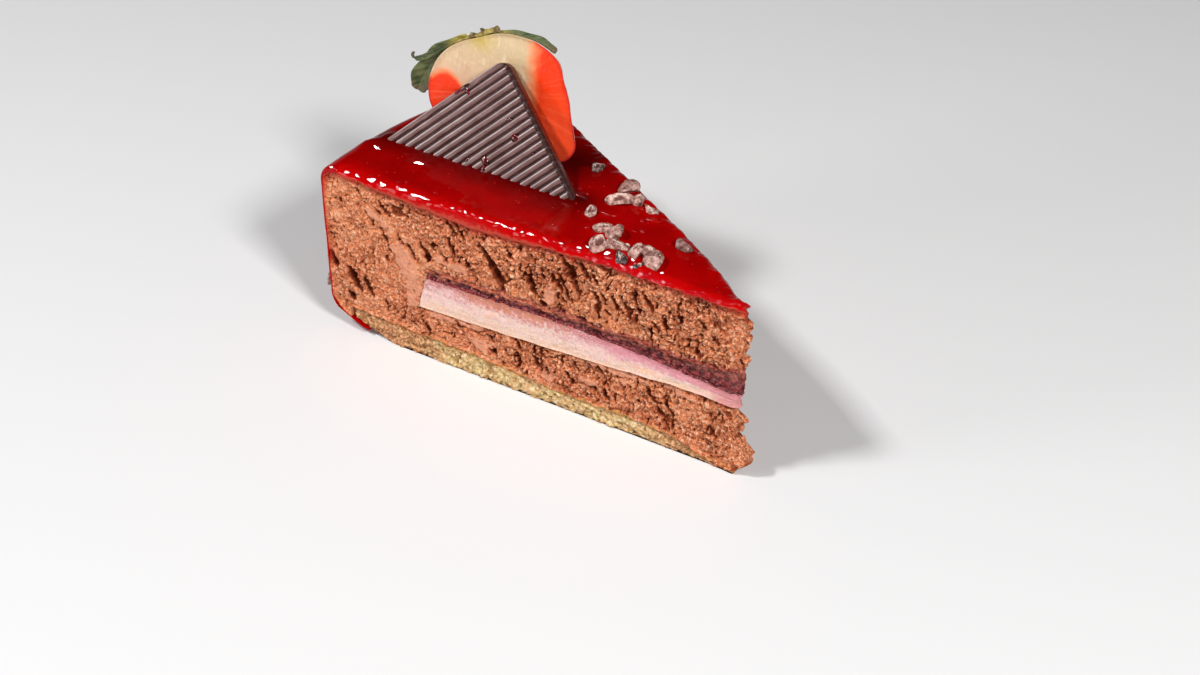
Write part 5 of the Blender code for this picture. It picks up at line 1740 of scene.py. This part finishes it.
GLAZE_BEADS = (  # distance from the apex, place across, length, width, height, turn
    (64.9, 4.8, 0.9, 0.7, 0.5, 0.0), (62.3, 4.7, 0.8, 0.5, 0.4, 0.3),
    (63.4, 2.3, 3.2, 0.6, 0.5, 0.1),
    (53.3, 1.6, 3.6, 0.6, 0.5, 0.2), (51.4, 2.6, 1.4, 0.6, 0.5, 1.2),
    (45.6, 5.7, 1.0, 0.8, 0.5, 0.0),
    (43.6, 7.4, 4.0, 0.6, 0.5, 0.4), (42.1, 2.5, 1.2, 0.7, 0.5, 0.3),
    (43.6, 1.6, 1.8, 0.4, 0.4, 0.2),
    (51.7, -5.4, 1.1, 0.7, 0.5, 0.6), (49.1, 9.3, 0.9, 0.8, 0.5, 0.0),
    (46.9, -12.2, 1.4, 0.8, 0.5, 0.3),
    (44.3, -11.0, 1.1, 0.8, 0.5, 0.0), (40.3, -9.6, 2.4, 1.3, 0.6, 0.3),
    (33.9, -7.6, 0.9, 0.7, 0.5, 0.0),
    (32.8, -6.3, 0.8, 0.7, 0.5, 0.0), (27.8, 5.6, 0.8, 0.7, 0.5, 0.0),
    (25.4, 1.6, 0.6, 0.5, 0.4, 0.0),
    (58.2, -9.8, 0.7, 0.5, 0.4, 0.2), (70.6, -9.0, 0.8, 0.5, 0.4, 0.2),
    (86.4, -20.6, 1.3, 0.6, 0.4, 0.3),
    (94.6, -22.6, 1.0, 0.6, 0.4, 0.3),
)


GLINTS = (  # distance from the apex, place across, length, width: flat wet spots on the edge
    (112.6, -30.6, 1.6, 0.9), (108.5, -29.6, 2.0, 0.9), (105.0, -29.2, 1.5, 1.1),
    (101.0, -28.8, 3.4, 1.7),
    (97.6, -28.0, 2.4, 1.1), (93.1, -24.8, 3.6, 1.0), (89.6, -24.9, 4.2, 0.9),
    (86.4, -24.9, 3.4, 0.8),
    (79.1, -22.3, 1.6, 0.8), (75.9, -20.4, 1.3, 0.8), (71.5, -20.2, 1.6, 0.8),
    (67.4, -19.3, 1.8, 0.8),
    (65.4, -18.1, 2.4, 0.9), (61.1, -16.6, 1.6, 0.7), (58.7, -15.7, 1.8, 0.8),
    (51.4, -13.3, 1.6, 0.7),
    (47.7, -11.7, 1.8, 0.8), (45.7, -10.5, 1.4, 0.7), (41.5, -9.1, 3.0, 1.6),
    (35.2, -6.7, 1.4, 0.7),
    (27.5, -5.6, 1.4, 0.7), (99.1, -15.8, 3.6, 1.3), (110.6, -18.4, 2.4, 1.2),
)

GLINT_EDGE, GLINT_LIFT = 0.32, 0.22
GLINT_WIDE, GLINT_HIGH = (0.80, 0.66), 1.3


def drop_finish(name, one, other):
    material, place = new_finish(name, Roughness=0.05, Specular_IOR_Level=0.6)
    return shade(material, blend(fade(noise_at(place, 1.2), 0.4, 0.6), one, other))


DARK_DROP = drop_finish("dark_red_drop", (0.12, 0.0015, 0.002), (0.035, 0.006, 0.006))
RED_BEAD = drop_finish("red_glaze_bead", (0.42, 0.0010, 0.0012), (0.30, 0.0006, 0.0008))


def ball_shape(name, top=1.0, ragged=0.0, seed=0.0):
    bm = bmesh.new()
    bmesh.ops.create_uvsphere(bm, u_segments=24, v_segments=14, radius=0.5)
    points = np.array([vert.co for vert in bm.verts])
    points[:, 2] *= np.where(points[:, 2] > 0.0, top, 1.0)
    turn = np.arctan2(points[:, 1], points[:, 0])
    points[:, :2] *= (1.0 + ragged * bumps(0.55, seed, np.cos(turn), np.sin(turn)))[:, None]
    return shape_from(bm, name, points)


def on_glaze(away, side, edge=0.0):
    """Radius, share of the width and level of a place, at least edge away from the cut."""
    radius = math.hypot(away, side)
    width = float(slice_width(radius))
    share = max((math.atan2(side, away) + HALF_ANGLE) * radius / width, edge / width)
    return radius, share, float(glaze_surface(np.array([radius]), np.array([share]))[0])


def build_drops():
    turn = tuple(PLAQUE_FRAME.to_euler())
    rows = []
    for along, down, *size in DROPS:
        spot = PLAQUE_FRAME @ Vector((along * MM, down * MM, -0.15 * MM)) / MM
        rows.append((tuple(spot), size, turn))
    return place_from_table("glaze_drops", [ball_shape("drop")], rows, 0.08, 1.0, DARK_DROP)


def build_beads():
    """Small wet beads that stand out of the glaze and catch the light."""
    rows = [
        ((APEX_X - away, side, on_glaze(away, side)[2]), size, (0.0, 0.0, turn))
        for away, side, *size, turn in GLAZE_BEADS
    ]
    return place_from_table("glaze_beads", [ball_shape("bead")], rows, 0.16, 1.0, RED_BEAD)


def build_glints():
    """Flat wet spots of the edge, each turned half way between the camera and the box."""
    along = Vector((-math.cos(HALF_ANGLE), -math.sin(HALF_ANGLE), 0.0))
    rows = []
    for away, side, length, width in GLINTS:
        spot = Vector(in_slice(*on_glaze(away, side, GLINT_EDGE)).tolist())
        to_camera, to_box = CAMERA_PLACE - spot * MM, BOX_OVERHEAD - spot * MM
        up = (to_camera.normalized() + to_box.normalized()).normalized()
        right = (along - up * along.dot(up)).normalized()
        turn = Matrix((right, up.cross(right), up)).transposed().to_euler()
        size = (GLINT_WIDE[0] * length, GLINT_WIDE[1] * width, GLINT_HIGH)
        rows.append((tuple(spot + up * GLINT_LIFT), size, tuple(turn), len(rows) % 5, 0.0))
    shapes = [ball_shape("glint", 0.035, 1.1, 31.0 + 3.7 * number) for number in range(5)]
    return place_from_table("glaze_glints", shapes, rows, 0.012, 0.7, RED_BEAD)


for build in (build_drops, build_beads, build_glints):
    finish(build())

# %% [markdown]
# ## Loose crumbs
#
# The torn face isn't only hollow: broken grains stand on it and overhang the layers below.
# They are scattered over the faces that the crumb tree has made, more of them where the
# mousse is coarse, each with only a few dozen faces.

# %% The scattering tree
def scatter_tree():
    given = new_tree(
        "scattered crumbs", "Density", "Smallest", "Largest", Shapes="Collection", Seed="Int"
    )
    inward = node("ShaderNodeVectorMath", {0: read_field("inward", VECTOR)}, 1, operation="LENGTH")
    where = read_field("rough") * (1.0 - read_field("smear")) * (inward > 0.5)
    where = where * fade(read_field("hollow"), 0.8, 0.2) * (read_field("cut", VECTOR).y > 1.2)
    points = node("GeometryNodeDistributePointsOnFaces", {
        "Mesh": given["Geometry"], "Density": where * where * given["Density"] * 1e6,
        "Seed": given["Seed"],
    })
    kind = "FunctionNodeRandomValue"
    spin = node(kind, {1: (6.28, 6.28, 6.28), "Seed": 3}, data_type=VECTOR)
    grow = node(kind, {"Seed": 4}, 1, data_type="FLOAT") ** 2.2
    scale = node("ShaderNodeMapRange", {0: grow, 3: given["Smallest"], 4: given["Largest"]})
    ends = {0: (0.7, 0.7, 0.6), 1: (1.2, 1.2, 1.0)}
    squash = node(kind, {**ends, "Seed": 5}, data_type=VECTOR)
    pick = node(kind, {4: 0, 5: 3, "Seed": 6}, 2, data_type="INT")
    return end_tree(instances(given, points, pick, spin, squash * scale), given)


SCATTER_TREE = scatter_tree()


TIP_CRUMBS = (  # place, size
    ((55.3, -0.5, 3.3), (3.0, 2.6, 3.6)), ((55.8, 0.4, 6.8), (2.2, 1.8, 2.4)),
    ((55.2, -0.6, 9.4), (1.8, 1.6, 2.0)),
    ((54.3, 0.2, 12.6), (1.9, 1.7, 1.5)), ((55.5, -0.2, 15.4), (1.7, 1.5, 1.9)),
    ((53.5, 0.3, 29.2), (2.2, 1.9, 2.0)),
    ((54.8, -0.4, 32.0), (1.9, 1.6, 2.3)), ((54.0, 0.4, 35.2), (1.6, 1.5, 1.6)),
    ((55.4, -0.1, 37.8), (2.0, 1.6, 2.4)),
    ((54.9, 0.3, 41.2), (1.7, 1.5, 1.8)), ((52.9, -1.3, 1.4), (2.2, 1.6, 1.8)),
    ((49.8, -2.5, 1.2), (1.6, 1.3, 1.4)),
)


def build_tip_crumbs():
    draw = random.Random(5)
    rows = []
    for number, (spot, size) in enumerate(TIP_CRUMBS):
        turn = tuple(draw.uniform(0.0, math.tau) for _ in range(3))
        rows.append((spot, size, turn, number % 3, 0.0))
    shapes = [shard(60 + number, 4, 12, 0.0) for number in range(3)]
    return place_from_table("tip_crumbs", shapes, rows, 0.45, 1.0, MOUSSE_CRUMB)


finish(build_tip_crumbs())


def crumb_shape(number):
    """A lumpy grain, 1 mm across, of 24 faces."""
    bm = bmesh.new()
    bmesh.ops.create_cube(bm, size=1.0)
    bmesh.ops.subdivide_edges(bm, edges=bm.edges[:], cuts=1, use_grid_fill=True)
    points = np.array([vert.co for vert in bm.verts])
    points /= np.linalg.norm(points, axis=1)[:, None]
    points *= (0.5 + 0.16 * bumps(0.5, 50.0 + number, *points.T))[:, None]
    return shape_from(bm, f"crumb_{number}", points)


def scatter(name, source, density, smallest, largest, seed, material):
    crumbs = link(bpy.data.objects.new(name, source.data.copy()))
    shapes = [crumb_shape(number) for number in range(4)]
    return run_with_shapes(crumbs, SCATTER_TREE, shapes, {
        "Density": density, "Smallest": smallest, "Largest": largest, "Seed": seed,
        "Material": material,
    })


for number, block in enumerate(mousse_blocks):
    name = f"mousse_crumbs_{number}"
    finish(scatter(name, block, 0.05, 0.30, 1.0, 7 + number, MOUSSE_CRUMB))
finish(scatter("sponge_crumbs", sponge, 0.35, 0.3, 0.9, 9, SPONGE))
